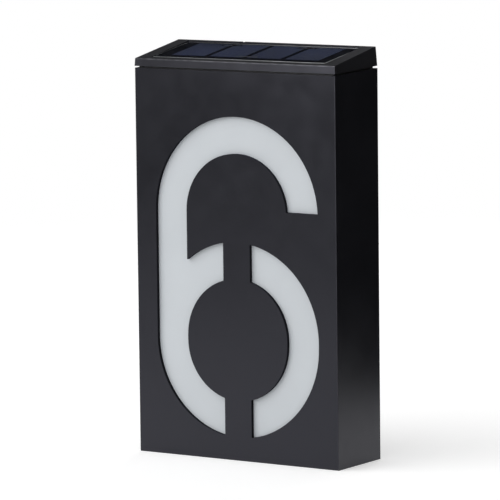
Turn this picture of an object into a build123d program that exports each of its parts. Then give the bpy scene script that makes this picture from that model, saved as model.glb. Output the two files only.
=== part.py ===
from build123d import *
import math
import os

# Solar house number light with the numeral 6.
# Millimetres. X to the right seen from the front, Y from the front towards the wall, Z up.
# The origin is under the middle of the box, on the surface that it can stand on.

# ---------------------------------------------------------------- driving dimensions
# Box
width = 120.0
depth = 40.0
front_height = 197.0
seam_rise = 1.0                # the top of the box climbs this much towards the wall
sheet = 2.0
fold_radius = 0.5
relief_radius = 0.4            # bend relief at the ends of the top fold
relief_inset = 1.1
sheet_clear = 0.5              # room between the folded walls and what stands inside

# Shadow gap under the lid
gap_front = 0.9
gap_back = 1.2
neck_inset = 1.7
neck_width = 6.3

# Lid
lid_front_height = 3.9
lid_back_height = 9.8
lid_draft = 3.15               # degrees
lid_edge_radius = 0.3
lid_floor = 1.6
lid_cavity_front = 10.5        # from the front of the box to the hollow under the lid
lid_cavity_back = 2.4
lid_cavity_side = 9.5
drain_width = 1.4              # small drain notch in the rear rim
drain_depth = 0.5
drain_x = -19.0

# Solar panel in the lid
panel_side_margin = 8.5
panel_front_margin = 4.6       # from the front of the box to the panel's front edge
panel_back_margin = 2.3
panel_gap = 0.7
panel_front_proud = 0.1
panel_back_sunk = 0.7
adhesive_thick = 0.4
adhesive_inset = 3.0
backing_thick = 1.0
cell_space = 0.25
cover_thick = 0.5
cover_rim = 1.2
solar_cell_count = 4
solar_cell_thick = 0.15
solar_cell_gap = 3.0
solar_left_margin = 7.8
solar_right_margin = 7.2
solar_front_margin = 5.6
solar_back_margin = 1.5
ribbon_width = 1.6
ribbon_thick = 0.06
ribbon_inset = 2.0
ribbon_reach = 5.0             # over each of the two cells

# Numeral
numeral_x = 0.6
numeral_side_margin = 11.4     # from each side of the box, before the shift to numeral_x
numeral_top_margin = 22.6
numeral_bottom_margin = 11.7
stroke = 18.7
hook_end_rise = 1.9            # of the hook's cut end over the middle of the top arc
bowl_straight = 2.2
bridge = 16.0

# Light box behind the numeral
diffuser_corner = 30.0
diffuser_thick = 2.0
gasket_thick = 1.0
gasket_width = 2.0
tray_wall = 1.5
tray_gap = 0.6                 # between the tray and the battery compartment
tray_ear = 2.0
tray_ear_height = 9.0
tray_ear_spread = 100.0
tray_window = 9.0

led_board_margin = 10.0        # from the light box's outline
led_board_thick = 1.6
led_size = 5.0
led_height = 1.4
led_well_radius = 2.0
led_well_depth = 0.7
led_columns = 2
led_rows = 4
led_edge_x = 18.0              # from the LED board's edges to the outermost LEDs
led_edge_z = 19.0
board_screw_inset = 4.0
board_corner = 1.5
screw_boss_radius = 2.6
screw_boss_floor = 0.6

# Threaded posts
post_radius = 2.3
post_bore_depth = 9.0
cover_post_side = 8.0          # from the inside of the side walls
cover_post_low = 5.6           # from the inside of the bottom wall
cover_post_high = 8.5          # from the inside of the top wall
side_post_clear = 0.3

# Rear cover
cover_plate = 3.0
cover_clear = 0.3
cover_corner = 1.0
seal_width = 1.5
seal_depth = 1.0
collar_depth = 3.0
boss_radius = 3.0
boss_end = 1.2

# Keyholes for two wall screws
keyhole_pitch = 70.0
keyhole_drop = 47.0            # below the top of the box's front
keyhole_radius = 4.5
keyhole_slot = 4.6
keyhole_rise = 10.0
keyhole_pocket_depth = 5.0
keyhole_pocket_clear = 1.2
pocket_wall = 1.6

# Battery compartment
cell_radius = 7.1
cell_length = 50.5             # with its positive button
cell_button_radius = 2.7
cell_button = 1.3
cell_clear = 0.3
cell_edge = 0.6
battery_z = 48.0
contact_thick = 0.5
contact_size = 12.0
contact_tail = 3.6
contact_tail_out = 4.0
contact_slit_clear = 0.1
spring_length = 5.0
spring_radius = 4.0
spring_wire = 0.45
spring_turns = 3
door_margin = 10.0             # past the battery space, each end, room for the screws
door_lip = 3.0
door_clear = 0.3
door_corner = 3.0
door_seal_thick = 0.6
door_seal_width = 1.6
door_notch_radius = 6.0
door_notch_depth = 0.8

# Control board and switch
board_side_margin = 30.0       # from the sides of the box
board_height = 30.0
board_thick = 1.6
board_z = 101.0
board_standoff = 4.5
chip_size = (6.0, 1.7, 5.0)    # across, deep, high
chip_place = -0.1              # place across the board, as a share of its width
coil_radius = 3.6
coil_height = 5.0
coil_flange = 1.0
coil_winding_radius = 2.88
coil_place = -0.3
capacitor_radius = 2.5
capacitor_height = 7.0
capacitor_place = 0.1
capacitor_edge = 0.4
header_width = 6.2
header_depth = 5.4
header_length = 6.5
header_wall = 0.8
plug_clear = 0.1
plug_proud = 2.5

switch_width = 8.8
switch_height = 4.8
switch_gap = 0.3               # between the switch and the rear cover
switch_wall = 0.5
switch_travel = 3.0
knob_width = 2.4
knob_height = 2.0
knob_sunk = 0.8                # below the rear face
knob_clear = 0.2
window_clear = 0.4             # each side of the knob's stem in its window
knob_carriage_width = 4.0
knob_carriage_depth = 1.4
knob_rib = 0.25                # grip grooves, across and deep
knob_rib_pitch = 0.8
switch_recess_width = 14.0
switch_recess_height = 8.0
switch_recess_depth = 1.2
switch_recess_corner = 2.0

# Wires
wire_radius = 0.65
wire_pitch = 2.0
lead_hole_radius = 2.6
grommet_wall = 0.9
grommet_lip = 0.9
lead_back = 12.0               # from the wall side to the wires' way through the top
lead_bend = 8.0
tight_bend = 2.5
led_window_clear = 2.0         # from the control board's edge to the tray's window
led_window_inset = 1.6         # from the tray's window to the LED board's edge

# Screws: shank radius, head radius, head height
m3_shank = 1.5
m3_head = 2.75
m3_head_height = 1.6
m25_shank = 1.25
m25_head = 2.3
m25_head_height = 1.5
thread_clear = 0.05
hole_clear = 0.15
head_clear = 0.25
recess_arm = 0.6
recess_depth = 0.8
screw_tip = 0.25               # share of the shank's radius that the tip is chamfered by
screw_dome = 1 / 3             # share of the head's height that its edge is rounded by
cover_screw_length = 8.5
tray_screw_length = 8.0
board_screw_length = 5.0
lid_screw_length = 6.0
lid_screw_back = (24.0, 8.0)   # from the wall side
door_screw_length = 8.0
door_screw_inset = 5.0

# ---------------------------------------------------------------- worked-out places
front_y = -depth / 2
back_y = depth / 2
inner_front_y = front_y + sheet
inner_side_x = width / 2 - sheet
lead_y = back_y - lead_back
side_post_x = inner_side_x - side_post_clear - post_radius
lid_screw_x = inner_side_x - side_post_clear - m25_head
lid_screw_y = [back_y - reach for reach in lid_screw_back]


def seam_z(y):
    """Height of the box's top face at a depth y."""
    return front_height + seam_rise * (y - front_y) / depth


def lid_seam_z(y):
    """Height of the lid's lower face at a depth y."""
    return seam_z(y) + gap_front + (gap_back - gap_front) * (y - front_y) / depth


def rim_z(y):
    """Height of the lid's sloping top face at a depth y."""
    low = lid_seam_z(front_y) + lid_front_height
    high = lid_seam_z(back_y) + lid_back_height
    return low + (high - low) * (y - front_y) / depth


numeral_radius = width / 2 - numeral_side_margin
counter_radius = numeral_radius - stroke
top_arc_z = front_height - numeral_top_margin - numeral_radius
bowl_lower_z = numeral_bottom_margin + numeral_radius
bowl_upper_z = bowl_lower_z + bowl_straight

cover_inner_y = back_y - cover_plate
door_thick = cover_plate - door_seal_thick
door_y = back_y - door_thick

pocket_length = 2 * contact_thick + spring_length + cell_length
pocket_height = 2 * (cell_radius + cell_clear)
cell_y = cover_inner_y - cell_clear - cell_radius
pocket_floor_y = cell_y - cell_radius - cell_clear
door_length = pocket_length + 2 * door_margin
door_height = pocket_height + 2 * door_lip
door_screw_x = door_length / 2 - door_screw_inset

light_lap = side_post_x - post_radius - sheet_clear - numeral_x - numeral_radius
light_width = 2 * (numeral_radius + light_lap)
light_low = numeral_bottom_margin - light_lap
light_high = front_height - numeral_top_margin + light_lap
light_z = (light_low + light_high) / 2
light_height = light_high - light_low
gasket_y = inner_front_y + diffuser_thick
tray_front_y = gasket_y + gasket_thick
tray_rear_y = pocket_floor_y - pocket_wall - tray_gap
tray_floor_y = tray_rear_y - tray_wall
led_board_y = tray_floor_y - led_board_thick
led_board_height = light_height - 2 * led_board_margin
keyhole_z = front_height - keyhole_drop

board_width = width - 2 * board_side_margin
chip_x = chip_place * board_width
coil_x = coil_place * board_width
capacitor_x = capacitor_place * board_width
board_rear_y = cover_inner_y - board_standoff
board_y = board_rear_y - board_thick
switch_rear_y = cover_inner_y - switch_gap
knob_rear_y = back_y - knob_sunk
plug_y = board_y - header_depth / 2
led_window_x = board_width / 2 + led_window_clear + tray_window / 2
led_board_width = 2 * (led_window_x - numeral_x + tray_window / 2 + led_window_inset)

panel_y0 = front_y + panel_front_margin
panel_width = width - 2 * panel_side_margin
panel_length = depth - panel_front_margin - panel_back_margin
solar_span = panel_width - solar_left_margin - solar_right_margin
solar_cell_pitch = (solar_span + solar_cell_gap) / solar_cell_count
solar_cell_width = solar_cell_pitch - solar_cell_gap
panel_slope = math.atan2(
    rim_z(panel_y0 + panel_length) - panel_back_sunk - rim_z(panel_y0) - panel_front_proud,
    panel_length,
)
panel_stack = adhesive_thick + backing_thick + cell_space + cover_thick
panel_seat_z = rim_z(panel_y0) + panel_front_proud - panel_stack / math.cos(panel_slope)


def panel_place(shape):
    """Moves a shape drawn flat, front edge on Y = 0 and underside on Z = 0, into the lid's seat."""
    return Pos(0, panel_y0, panel_seat_z) * Rot(math.degrees(panel_slope), 0, 0) * shape


# ---------------------------------------------------------------- shape helpers
def block(x, y, z):
    """A block between two limits, (low, high), on each axis."""
    sizes = [high - low for low, high in (x, y, z)]
    centre = [(high + low) / 2 for low, high in (x, y, z)]
    return Pos(*centre) * Box(*sizes)


def about(middle, size):
    """The limits of a length laid evenly about a middle."""
    return (middle - size / 2, middle + size / 2)


def plate_y(face, low, high):
    """An outline drawn in X and Z, made solid between two depths."""
    return Pos(0, low, 0) * extrude(Plane.XZ * face, high - low, dir=(0, 1, 0))


def prism_x(points, low, high):
    """An outline of (Y, Z) points, made solid between two places on X."""
    outline = Polygon(*points, align=None)
    return Pos(low, 0, 0) * extrude(Plane.YZ * outline, high - low, dir=(1, 0, 0))


def rod_y(x, z, low, high, radius):
    """A round rod along Y between two depths."""
    return Pos(x, (low + high) / 2, z) * Rot(90, 0, 0) * Cylinder(radius, high - low)


def rod_z(x, y, low, high, radius):
    """A round rod along Z between two heights."""
    return Pos(x, y, (low + high) / 2) * Cylinder(radius, high - low)


def ring_y(outer, inner, low, high):
    """A flat ring: one outline less another, made solid between two depths."""
    return plate_y(outer - inner, low, high)


def rounded(x, z, across, high, radius):
    """A rounded rectangle about a point, drawn in X and Z."""
    return Pos(x, z) * RectangleRounded(across, high, radius)


def screw(shank, head, head_height, length):
    """A pan-head screw along Z: the head stands on Z = 0 and the shank points down."""
    body = rod_z(0, 0, 0, head_height, head) + rod_z(0, 0, -length, 0, shank)
    body = chamfer(body.edges().group_by(Axis.Z)[0], shank * screw_tip)
    body = fillet(body.edges().group_by(Axis.Z)[-1], head_height * screw_dome)
    arm = (head_height - recess_depth, head_height)
    for turn in (0, 90):
        body -= Rot(0, 0, turn) * block(about(0, head), about(0, recess_arm), arm)
    return body


def grouped(shapes):
    """Separate solids that share one node."""
    return Compound(children=[solid for shape in shapes for solid in shape.solids()])


FACING_BACK = Rot(-90, 0, 0)
FACING_FRONT = Rot(90, 0, 0)
FACING_DOWN = Rot(180, 0, 0)


# ---------------------------------------------------------------- numeral
def numeral_regions():
    """The two cut-outs of the stencil 6, drawn about the numeral's middle line.

    Two bridges, above and below the counter, part the bowl into a left and a right cut-out.
    """
    outer, inner, half = numeral_radius, counter_radius, bridge / 2
    outer_turn = math.degrees(math.acos(half / outer))
    inner_turn = math.degrees(math.acos(half / inner))
    tip_turn = math.degrees(math.acos(inner / outer))
    outer_rise = math.sqrt(outer**2 - half**2)
    inner_rise = math.sqrt(inner**2 - half**2)
    tip_rise = math.sqrt(outer**2 - inner**2)
    top, upper, lower = top_arc_z, bowl_upper_z, bowl_lower_z
    end = hook_end_rise
    outer_end, inner_end = math.sqrt(outer**2 - end**2), math.sqrt(inner**2 - end**2)
    outer_start = math.degrees(math.asin(end / outer))
    inner_start = math.degrees(math.asin(end / inner))
    left = [
        Line((inner_end, top + end), (outer_end, top + end)),
        CenterArc((0, top), outer, outer_start, 180 - outer_start),
        Line((-outer, top), (-outer, lower)),
        CenterArc((0, lower), outer, 180, outer_turn),
        Line((-half, lower - outer_rise), (-half, lower - inner_rise)),
        CenterArc((0, lower), inner, 180, inner_turn),
        Line((-inner, lower), (-inner, upper)),
        CenterArc((0, upper), inner, 180 - inner_turn, inner_turn),
        Line((-half, upper + inner_rise), (-half, upper + outer_rise)),
        CenterArc((0, upper), outer, 180 - outer_turn, outer_turn - tip_turn),
        Line((-inner, upper + tip_rise), (-inner, top)),
        CenterArc((0, top), inner, inner_start, 180 - inner_start),
    ]
    right = [
        Line((half, lower - outer_rise), (half, lower - inner_rise)),
        CenterArc((0, lower), inner, -inner_turn, inner_turn),
        Line((inner, lower), (inner, upper)),
        CenterArc((0, upper), inner, 0, inner_turn),
        Line((half, upper + inner_rise), (half, upper + outer_rise)),
        CenterArc((0, upper), outer, 0, outer_turn),
        Line((outer, upper), (outer, lower)),
        CenterArc((0, lower), outer, -outer_turn, outer_turn),
    ]
    return [Pos(numeral_x, 0) * make_face(region) for region in (left, right)]


# ---------------------------------------------------------------- housing
def housing_shell():
    """Folded sheet box, open at the back, with the numeral cut through its front."""
    outline = [(front_y, 0), (back_y, 0), (back_y, seam_z(back_y)), (front_y, seam_z(front_y))]
    body = prism_x(outline, -width / 2, width / 2)
    folds = body.edges().filter_by(Axis.Z) + body.edges().filter_by(Axis.X).group_by(Axis.Z)[0]
    back = folds.group_by(Axis.Y)[-1]
    body = fillet([fold for fold in folds if fold not in back], fold_radius)
    past = back_y + sheet
    hollow = [
        (inner_front_y, sheet),
        (past, sheet),
        (past, seam_z(past) - sheet),
        (inner_front_y, seam_z(inner_front_y) - sheet),
    ]
    body -= prism_x(hollow, -inner_side_x, inner_side_x)
    for region in numeral_regions():
        body -= plate_y(region, front_y - sheet, inner_front_y + sheet / 2)
    for side in (-1, 1):
        relief_x = side * (width / 2 - relief_inset)
        body -= rod_y(relief_x, seam_z(front_y), front_y - sheet, inner_front_y, relief_radius)
        for y in lid_screw_y:
            hole = m25_shank + hole_clear
            body -= rod_z(side * lid_screw_x, y, seam_z(y) - 2 * sheet, seam_z(y) + sheet, hole)
    body -= rod_z(0, lead_y, seam_z(lead_y) - 2 * sheet, seam_z(lead_y) + sheet, lead_hole_radius)
    return body


def corners(x, z, reach_x, reach_z):
    """Four places about a middle: (x, z)."""
    return [(x + side * reach_x, z + end * reach_z) for side in (-1, 1) for end in (-1, 1)]


def cover_post_places():
    """Where the rear cover's four screws stand: (x, z)."""
    low = sheet + cover_post_low
    high = front_height - sheet - cover_post_high
    return corners(0, (low + high) / 2, inner_side_x - cover_post_side, (high - low) / 2)


def tray_post_places():
    """Where the tray's four screws stand: (x, z)."""
    return corners(0, light_z, side_post_x, tray_ear_spread / 2)


def post(x, z, end_y, bore):
    """A threaded post from the front wall back to a depth."""
    return rod_y(x, z, inner_front_y, end_y, post_radius) - rod_y(
        x, z, end_y - post_bore_depth, end_y, bore
    )


def cover_posts():
    """Four long posts for the rear cover."""
    bore = m3_shank + thread_clear
    return grouped([post(x, z, cover_inner_y, bore) for x, z in cover_post_places()])


def tray_posts():
    """Four shorter posts for the light box."""
    bore = m25_shank + thread_clear
    return grouped([post(x, z, tray_rear_y - tray_ear, bore) for x, z in tray_post_places()])


# ---------------------------------------------------------------- light box
def light_outline(inset=0.0):
    """The light box's outline, drawn in by an inset."""
    across = light_width - 2 * inset
    high = light_height - 2 * inset
    return rounded(numeral_x, light_z, across, high, diffuser_corner - inset)


def diffuser_panel():
    """Opal sheet against the inside of the front wall."""
    return plate_y(light_outline(), inner_front_y, gasket_y)


def diffuser_gasket():
    """Foam ring that presses the diffuser to the front wall."""
    return ring_y(light_outline(), light_outline(gasket_width), gasket_y, tray_front_y)


def led_board_corners():
    """Where the LED board's four screws stand: (x, z)."""
    reach_x = led_board_width / 2 - board_screw_inset
    reach_z = led_board_height / 2 - board_screw_inset
    return corners(numeral_x, light_z, reach_x, reach_z)


def reflector_tray():
    """White tray, open to the front, with ears for its screws and bosses for the LED board."""
    body = plate_y(light_outline(), tray_front_y, tray_rear_y)
    body -= plate_y(light_outline(tray_wall), tray_front_y - tray_wall, tray_floor_y)
    for x, z in tray_post_places():
        side = math.copysign(1, x)
        inner_x = numeral_x + side * (light_width / 2 - tray_wall / 2)
        outer_x = side * (inner_side_x - sheet_clear)
        span = (min(inner_x, outer_x), max(inner_x, outer_x))
        ear = block(span, (tray_rear_y - tray_ear, tray_rear_y), about(z, tray_ear_height))
        body += ear
        body -= rod_y(x, z, tray_rear_y - 2 * tray_ear, tray_rear_y + tray_ear, m25_shank + hole_clear)
    for x, z in led_board_corners():
        end = led_board_y + board_screw_length + thread_clear
        body += rod_y(x, z, tray_floor_y, end + screw_boss_floor, screw_boss_radius)
        body -= rod_y(x, z, tray_floor_y - tray_wall, end, m25_shank + thread_clear)
    window_x = about(led_window_x, tray_window)
    body -= block(window_x, (tray_floor_y, tray_rear_y), about(board_z, tray_window))
    return body


def tray_screws():
    """Four screws through the tray's ears into the posts."""
    one = FACING_BACK * screw(m25_shank, m25_head, m25_head_height, tray_screw_length)
    return grouped([Pos(x, tray_rear_y, z) * one for x, z in tray_post_places()])


def led_board():
    """White board on the tray's floor."""
    outline = rounded(numeral_x, light_z, led_board_width, led_board_height, board_corner)
    for x, z in led_board_corners():
        outline -= Pos(x, z) * Circle(m25_shank + hole_clear)
    return plate_y(outline, led_board_y, tray_floor_y)


def led_places():
    """Middles of the LEDs: (x, z)."""
    pitch_x = (led_board_width - 2 * led_edge_x) / (led_columns - 1)
    pitch_z = (led_board_height - 2 * led_edge_z) / (led_rows - 1)
    low_x = numeral_x - led_board_width / 2 + led_edge_x
    low_z = light_z - led_board_height / 2 + led_edge_z
    return [
        (low_x + column * pitch_x, low_z + row * pitch_z)
        for column in range(led_columns)
        for row in range(led_rows)
    ]


def led_lamps():
    """Square surface-mounted LEDs with a shallow round lens well."""
    lamps = []
    for x, z in led_places():
        depth_span = (led_board_y - led_height, led_board_y)
        lamp = block(about(x, led_size), depth_span, about(z, led_size))
        face_y = led_board_y - led_height
        well = rod_y(x, z, face_y, face_y + led_well_depth, led_well_radius)
        lamps.append(lamp - well)
    return grouped(lamps)


def led_board_screws():
    """Four screws through the LED board into the tray's bosses."""
    one = FACING_FRONT * screw(m25_shank, m25_head, m25_head_height, board_screw_length)
    return grouped([Pos(x, led_board_y, z) * one for x, z in led_board_corners()])


# ---------------------------------------------------------------- rear cover
cover_low = sheet + cover_clear
cover_high = seam_z(cover_inner_y) - sheet - cover_clear
cover_side = inner_side_x - cover_clear


def control_board_corners():
    """Where the control board's four screws stand: (x, z)."""
    reach_x = board_width / 2 - board_screw_inset
    reach_z = board_height / 2 - board_screw_inset
    return corners(0, board_z, reach_x, reach_z)


def keyhole_outline(x, margin=0.0):
    """Round entry hole with a slot above it, drawn in X and Z, grown by a margin."""
    slot_width = keyhole_slot + 2 * margin
    slot = Pos(x, keyhole_z + keyhole_rise / 2) * Rectangle(slot_width, keyhole_rise)
    top = Pos(x, keyhole_z + keyhole_rise) * Circle(slot_width / 2)
    return Pos(x, keyhole_z) * Circle(keyhole_radius + margin) + slot + top


def keyhole_pocket(x, wall):
    """Room for a wall screw's head behind a keyhole, or that room with its walls."""
    reach = keyhole_radius + keyhole_pocket_clear + wall
    high = keyhole_z + keyhole_rise + keyhole_radius + keyhole_pocket_clear + wall
    depth_span = (cover_inner_y - keyhole_pocket_depth - wall, cover_inner_y)
    return block(about(x, 2 * reach), depth_span, (keyhole_z - reach, high))


def battery_pocket(wall, low_y):
    """The battery space grown by a wall, from a depth back to the rear cover."""
    return block(
        about(0, pocket_length + 2 * wall),
        (low_y, cover_inner_y),
        about(battery_z, pocket_height + 2 * wall),
    )


def door_opening():
    """The hole in the rear cover that the battery door fills."""
    opening = rounded(0, battery_z, door_length, door_height, door_corner)
    return plate_y(opening, cover_inner_y, back_y + cover_plate)


def knob_window():
    """The slot that the switch knob runs in, with a shallow recess for a fingertip."""
    slot_width = knob_width + switch_travel + 2 * window_clear
    slot_height = knob_height + 2 * window_clear
    slot = block(about(0, slot_width), (cover_inner_y - 1, back_y + 1), about(board_z, slot_height))
    recess = rounded(0, board_z, switch_recess_width, switch_recess_height, switch_recess_corner)
    return slot + plate_y(recess, back_y - switch_recess_depth, back_y + 1)


def rear_cover():
    """Moulded back: plate, battery compartment, keyhole pockets, board bosses and seal groove."""
    plate = block((-cover_side, cover_side), (cover_inner_y, back_y), (cover_low, cover_high))
    plate = fillet(plate.edges().filter_by(Axis.Y), cover_corner)
    core = block(
        (-cover_side + seal_depth, cover_side - seal_depth),
        (cover_inner_y, back_y),
        (cover_low + seal_depth, cover_high - seal_depth),
    )
    middle = cover_inner_y + cover_plate / 2
    groove = block(
        (-width, width), about(middle, seal_width), (-front_height, 2 * front_height)
    )
    body = plate - (groove - core)
    for side in (-1, 1):
        body += keyhole_pocket(side * keyhole_pitch / 2, pocket_wall)
    body += battery_pocket(pocket_wall, pocket_floor_y - pocket_wall)
    collar = rounded(
        0, battery_z, door_length + 2 * pocket_wall, door_height + 2 * pocket_wall, door_corner
    )
    body += plate_y(collar, cover_inner_y - collar_depth, cover_inner_y)
    for side in (-1, 1):
        x = side * door_screw_x
        bore_end = back_y - m3_head_height - door_screw_length - thread_clear
        body += rod_y(x, battery_z, bore_end - boss_end, cover_inner_y, boss_radius)
        body -= rod_y(x, battery_z, bore_end, cover_inner_y, m3_shank + thread_clear)
    body -= battery_pocket(0, pocket_floor_y)
    body -= door_opening()
    for side in (-1, 1):
        x = side * keyhole_pitch / 2
        body -= keyhole_pocket(x, 0)
        body -= plate_y(keyhole_outline(x), cover_inner_y - 1, back_y + 1)
        slit_x = about(
            side * (pocket_length - contact_thick) / 2, contact_thick + 2 * contact_slit_clear
        )
        slit_y = about(cell_y, contact_tail + 2 * contact_slit_clear)
        body -= block(slit_x, slit_y, (battery_z, battery_z + pocket_height))
    for x, z in control_board_corners():
        body += rod_y(x, z, board_rear_y, cover_inner_y, screw_boss_radius)
        end = board_y + board_screw_length + thread_clear
        body -= rod_y(x, z, board_rear_y, end, m25_shank + thread_clear)
    body -= knob_window()
    for x, z in cover_post_places():
        body -= rod_y(x, z, cover_inner_y - 1, back_y, m3_shank + hole_clear)
        seat_y = back_y - m3_head_height - hole_clear
        body -= rod_y(x, z, seat_y, back_y + 1, m3_head + head_clear)
    return body


def rear_seal():
    """Rubber cord in the rear cover's edge groove, against the inside of the box."""
    middle = cover_inner_y + cover_plate / 2
    depth_span = about(middle, seal_width)
    high = seam_z(depth_span[0]) - sheet
    ring = block((-inner_side_x, inner_side_x), depth_span, (sheet, high))
    return ring - block(
        (-cover_side + seal_depth, cover_side - seal_depth),
        depth_span,
        (cover_low + seal_depth, cover_high - seal_depth),
    )


def rear_cover_screws():
    """Four sunk screws through the rear cover into the long posts."""
    one = FACING_BACK * screw(m3_shank, m3_head, m3_head_height, cover_screw_length)
    seat_y = back_y - m3_head_height - hole_clear
    return grouped([Pos(x, seat_y, z) * one for x, z in cover_post_places()])


# ---------------------------------------------------------------- control board and switch
def control_board():
    """Board on the rear cover's bosses."""
    outline = rounded(0, board_z, board_width, board_height, board_corner)
    for x, z in control_board_corners():
        outline -= Pos(x, z) * Circle(m25_shank + hole_clear)
    return plate_y(outline, board_y, board_rear_y)


def control_board_screws():
    """Four screws through the control board into the rear cover's bosses."""
    one = FACING_FRONT * screw(m25_shank, m25_head, m25_head_height, board_screw_length)
    return grouped([Pos(x, board_y, z) * one for x, z in control_board_corners()])


def driver_chip():
    """Charge and light controller."""
    across, deep, high = chip_size
    return block(about(chip_x, across), (board_y - deep, board_y), about(board_z, high))


def choke_coil():
    """Drum choke: two flanges about a narrower winding."""
    low = board_y - coil_height
    body = rod_y(coil_x, board_z, low, board_y, coil_winding_radius)
    body += rod_y(coil_x, board_z, low, low + coil_flange, coil_radius)
    body += rod_y(coil_x, board_z, board_y - coil_flange, board_y, coil_radius)
    return body


def filter_capacitor():
    """Round can capacitor."""
    can = rod_y(capacitor_x, board_z, board_y - capacitor_height, board_y, capacitor_radius)
    return fillet(can.edges().group_by(Axis.Y)[0], capacitor_edge)


def socket_places():
    """Where each pair of wires plugs in: a turn about Y takes straight up to the plug's way in."""
    reach_z = board_height / 2 - header_length
    reach_x = board_width / 2 - header_length
    return [
        Pos(0, board_y, board_z + reach_z),
        Pos(0, board_y, board_z - reach_z) * Rot(0, 180, 0),
        Pos(reach_x, board_y, board_z) * Rot(0, 90, 0),
    ]


def wire_headers():
    """Three sockets on the control board, each open at its outer end."""
    body = block(about(0, header_width), (-header_depth, 0), (0, header_length))
    room = block(
        about(0, header_width - 2 * header_wall),
        (-header_depth + header_wall, -header_wall),
        (header_wall, header_length + 1),
    )
    return grouped([place * (body - room) for place in socket_places()])


def wire_plugs():
    """Three plugs in the sockets, each with two holes for its wires."""
    inset = header_wall + plug_clear
    top = header_length + plug_proud
    body = block(
        about(0, header_width - 2 * inset), (-header_depth + inset, -inset), (header_wall, top)
    )
    for side in (-1, 1):
        hole = wire_radius + thread_clear
        x = side * wire_pitch / 2
        body -= rod_z(x, -header_depth / 2, top - plug_proud, top + 1, hole)
    return grouped([place * body for place in socket_places()])


def switch_body():
    """Slide switch can with a slot for its knob."""
    can = block(
        about(0, switch_width), (board_rear_y, switch_rear_y), about(board_z, switch_height)
    )
    room = block(
        about(0, switch_width - 2 * switch_wall),
        (board_rear_y + switch_wall, switch_rear_y - switch_wall),
        about(board_z, switch_height - 2 * switch_wall),
    )
    slot = block(
        about(0, knob_width + switch_travel + 2 * knob_clear),
        (switch_rear_y - 2 * switch_wall, switch_rear_y + 1),
        about(board_z, knob_height + 2 * knob_clear),
    )
    return can - room - slot


def switch_knob():
    """Sliding knob: a carriage in the switch and a ribbed stem through the rear cover."""
    x = -switch_travel / 2
    carriage_rear = switch_rear_y - switch_wall - knob_clear
    carriage_height = switch_height - 2 * switch_wall - 2 * knob_clear
    carriage = block(
        about(x, knob_carriage_width),
        (carriage_rear - knob_carriage_depth, carriage_rear),
        about(board_z, carriage_height),
    )
    stem = block(
        about(x, knob_width),
        (carriage_rear - knob_carriage_depth, knob_rear_y),
        about(board_z, knob_height),
    )
    knob = carriage + stem
    for step in (-1, 0, 1):
        rib_x = x + step * knob_rib_pitch
        knob -= block(
            about(rib_x, knob_rib), (knob_rear_y - knob_rib, knob_rear_y), about(board_z, knob_height)
        )
    return knob


# ---------------------------------------------------------------- battery
def battery_cell():
    """Round cell lying across, its button to the right."""
    right = pocket_length / 2 - contact_thick
    left = right - cell_length
    shoulder = right - cell_button
    can = Pos((left + shoulder) / 2, cell_y, battery_z) * Rot(0, 90, 0)
    can *= Cylinder(cell_radius, shoulder - left)
    can = fillet(can.edges(), cell_edge)
    button = Pos((shoulder + right) / 2, cell_y, battery_z) * Rot(0, 90, 0)
    return can + button * Cylinder(cell_button_radius, cell_button)


def contact(side):
    """Plate at one end of the compartment, with a solder tail through the wall above.

    The plate on the right meets the cell's button, and the one on the left carries the spring.
    """
    outer = side * pocket_length / 2
    inner = outer - side * contact_thick
    span = (min(outer, inner), max(outer, inner))
    plate = block(span, about(cell_y, contact_size), about(battery_z, contact_size))
    tail_top = battery_z + pocket_height / 2 + pocket_wall + contact_tail_out
    return plate + block(span, about(cell_y, contact_tail), (battery_z, tail_top))


def battery_spring():
    """Coil spring between the minus contact and the cell."""
    free = spring_length - 2 * spring_wire
    start_x = -pocket_length / 2 + contact_thick + spring_wire
    coil = Helix(free / spring_turns, free, spring_radius)
    section = Plane(origin=coil @ 0, z_dir=coil % 0) * Circle(spring_wire)
    wound = sweep(section, path=coil)
    return Pos(start_x, cell_y, battery_z) * Rot(0, 90, 0) * wound


def door_seal_outline(grow):
    """The door seal's inner outline, grown outwards."""
    gap = 2 * (door_clear + grow)
    return Pos(0, battery_z) * Rectangle(pocket_length + gap, pocket_height + gap)


def battery_door():
    """Lid of the battery compartment, flush with the rear cover."""
    outline = rounded(
        0, battery_z, door_length - 2 * door_clear, door_height - 2 * door_clear, door_corner
    )
    body = plate_y(outline, door_y, back_y)
    for side in (-1, 1):
        x = side * door_screw_x
        body -= rod_y(x, battery_z, door_y, back_y, m3_shank + hole_clear)
        seat_y = back_y - m3_head_height
        body -= rod_y(x, battery_z, seat_y, back_y, m3_head + head_clear)
    notch_z = battery_z + door_height / 2
    body -= rod_y(0, notch_z, back_y - door_notch_depth, back_y, door_notch_radius)
    return body


def battery_door_seal():
    """Rubber ring between the door and the compartment's edge."""
    outer = door_seal_outline(door_seal_width)
    return ring_y(outer, door_seal_outline(0), cover_inner_y, door_y)


def battery_door_screws():
    """Two captive screws of the door."""
    one = FACING_BACK * screw(m3_shank, m3_head, m3_head_height, door_screw_length)
    seat_y = back_y - m3_head_height
    return grouped([Pos(side * door_screw_x, seat_y, battery_z) * one for side in (-1, 1)])


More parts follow.
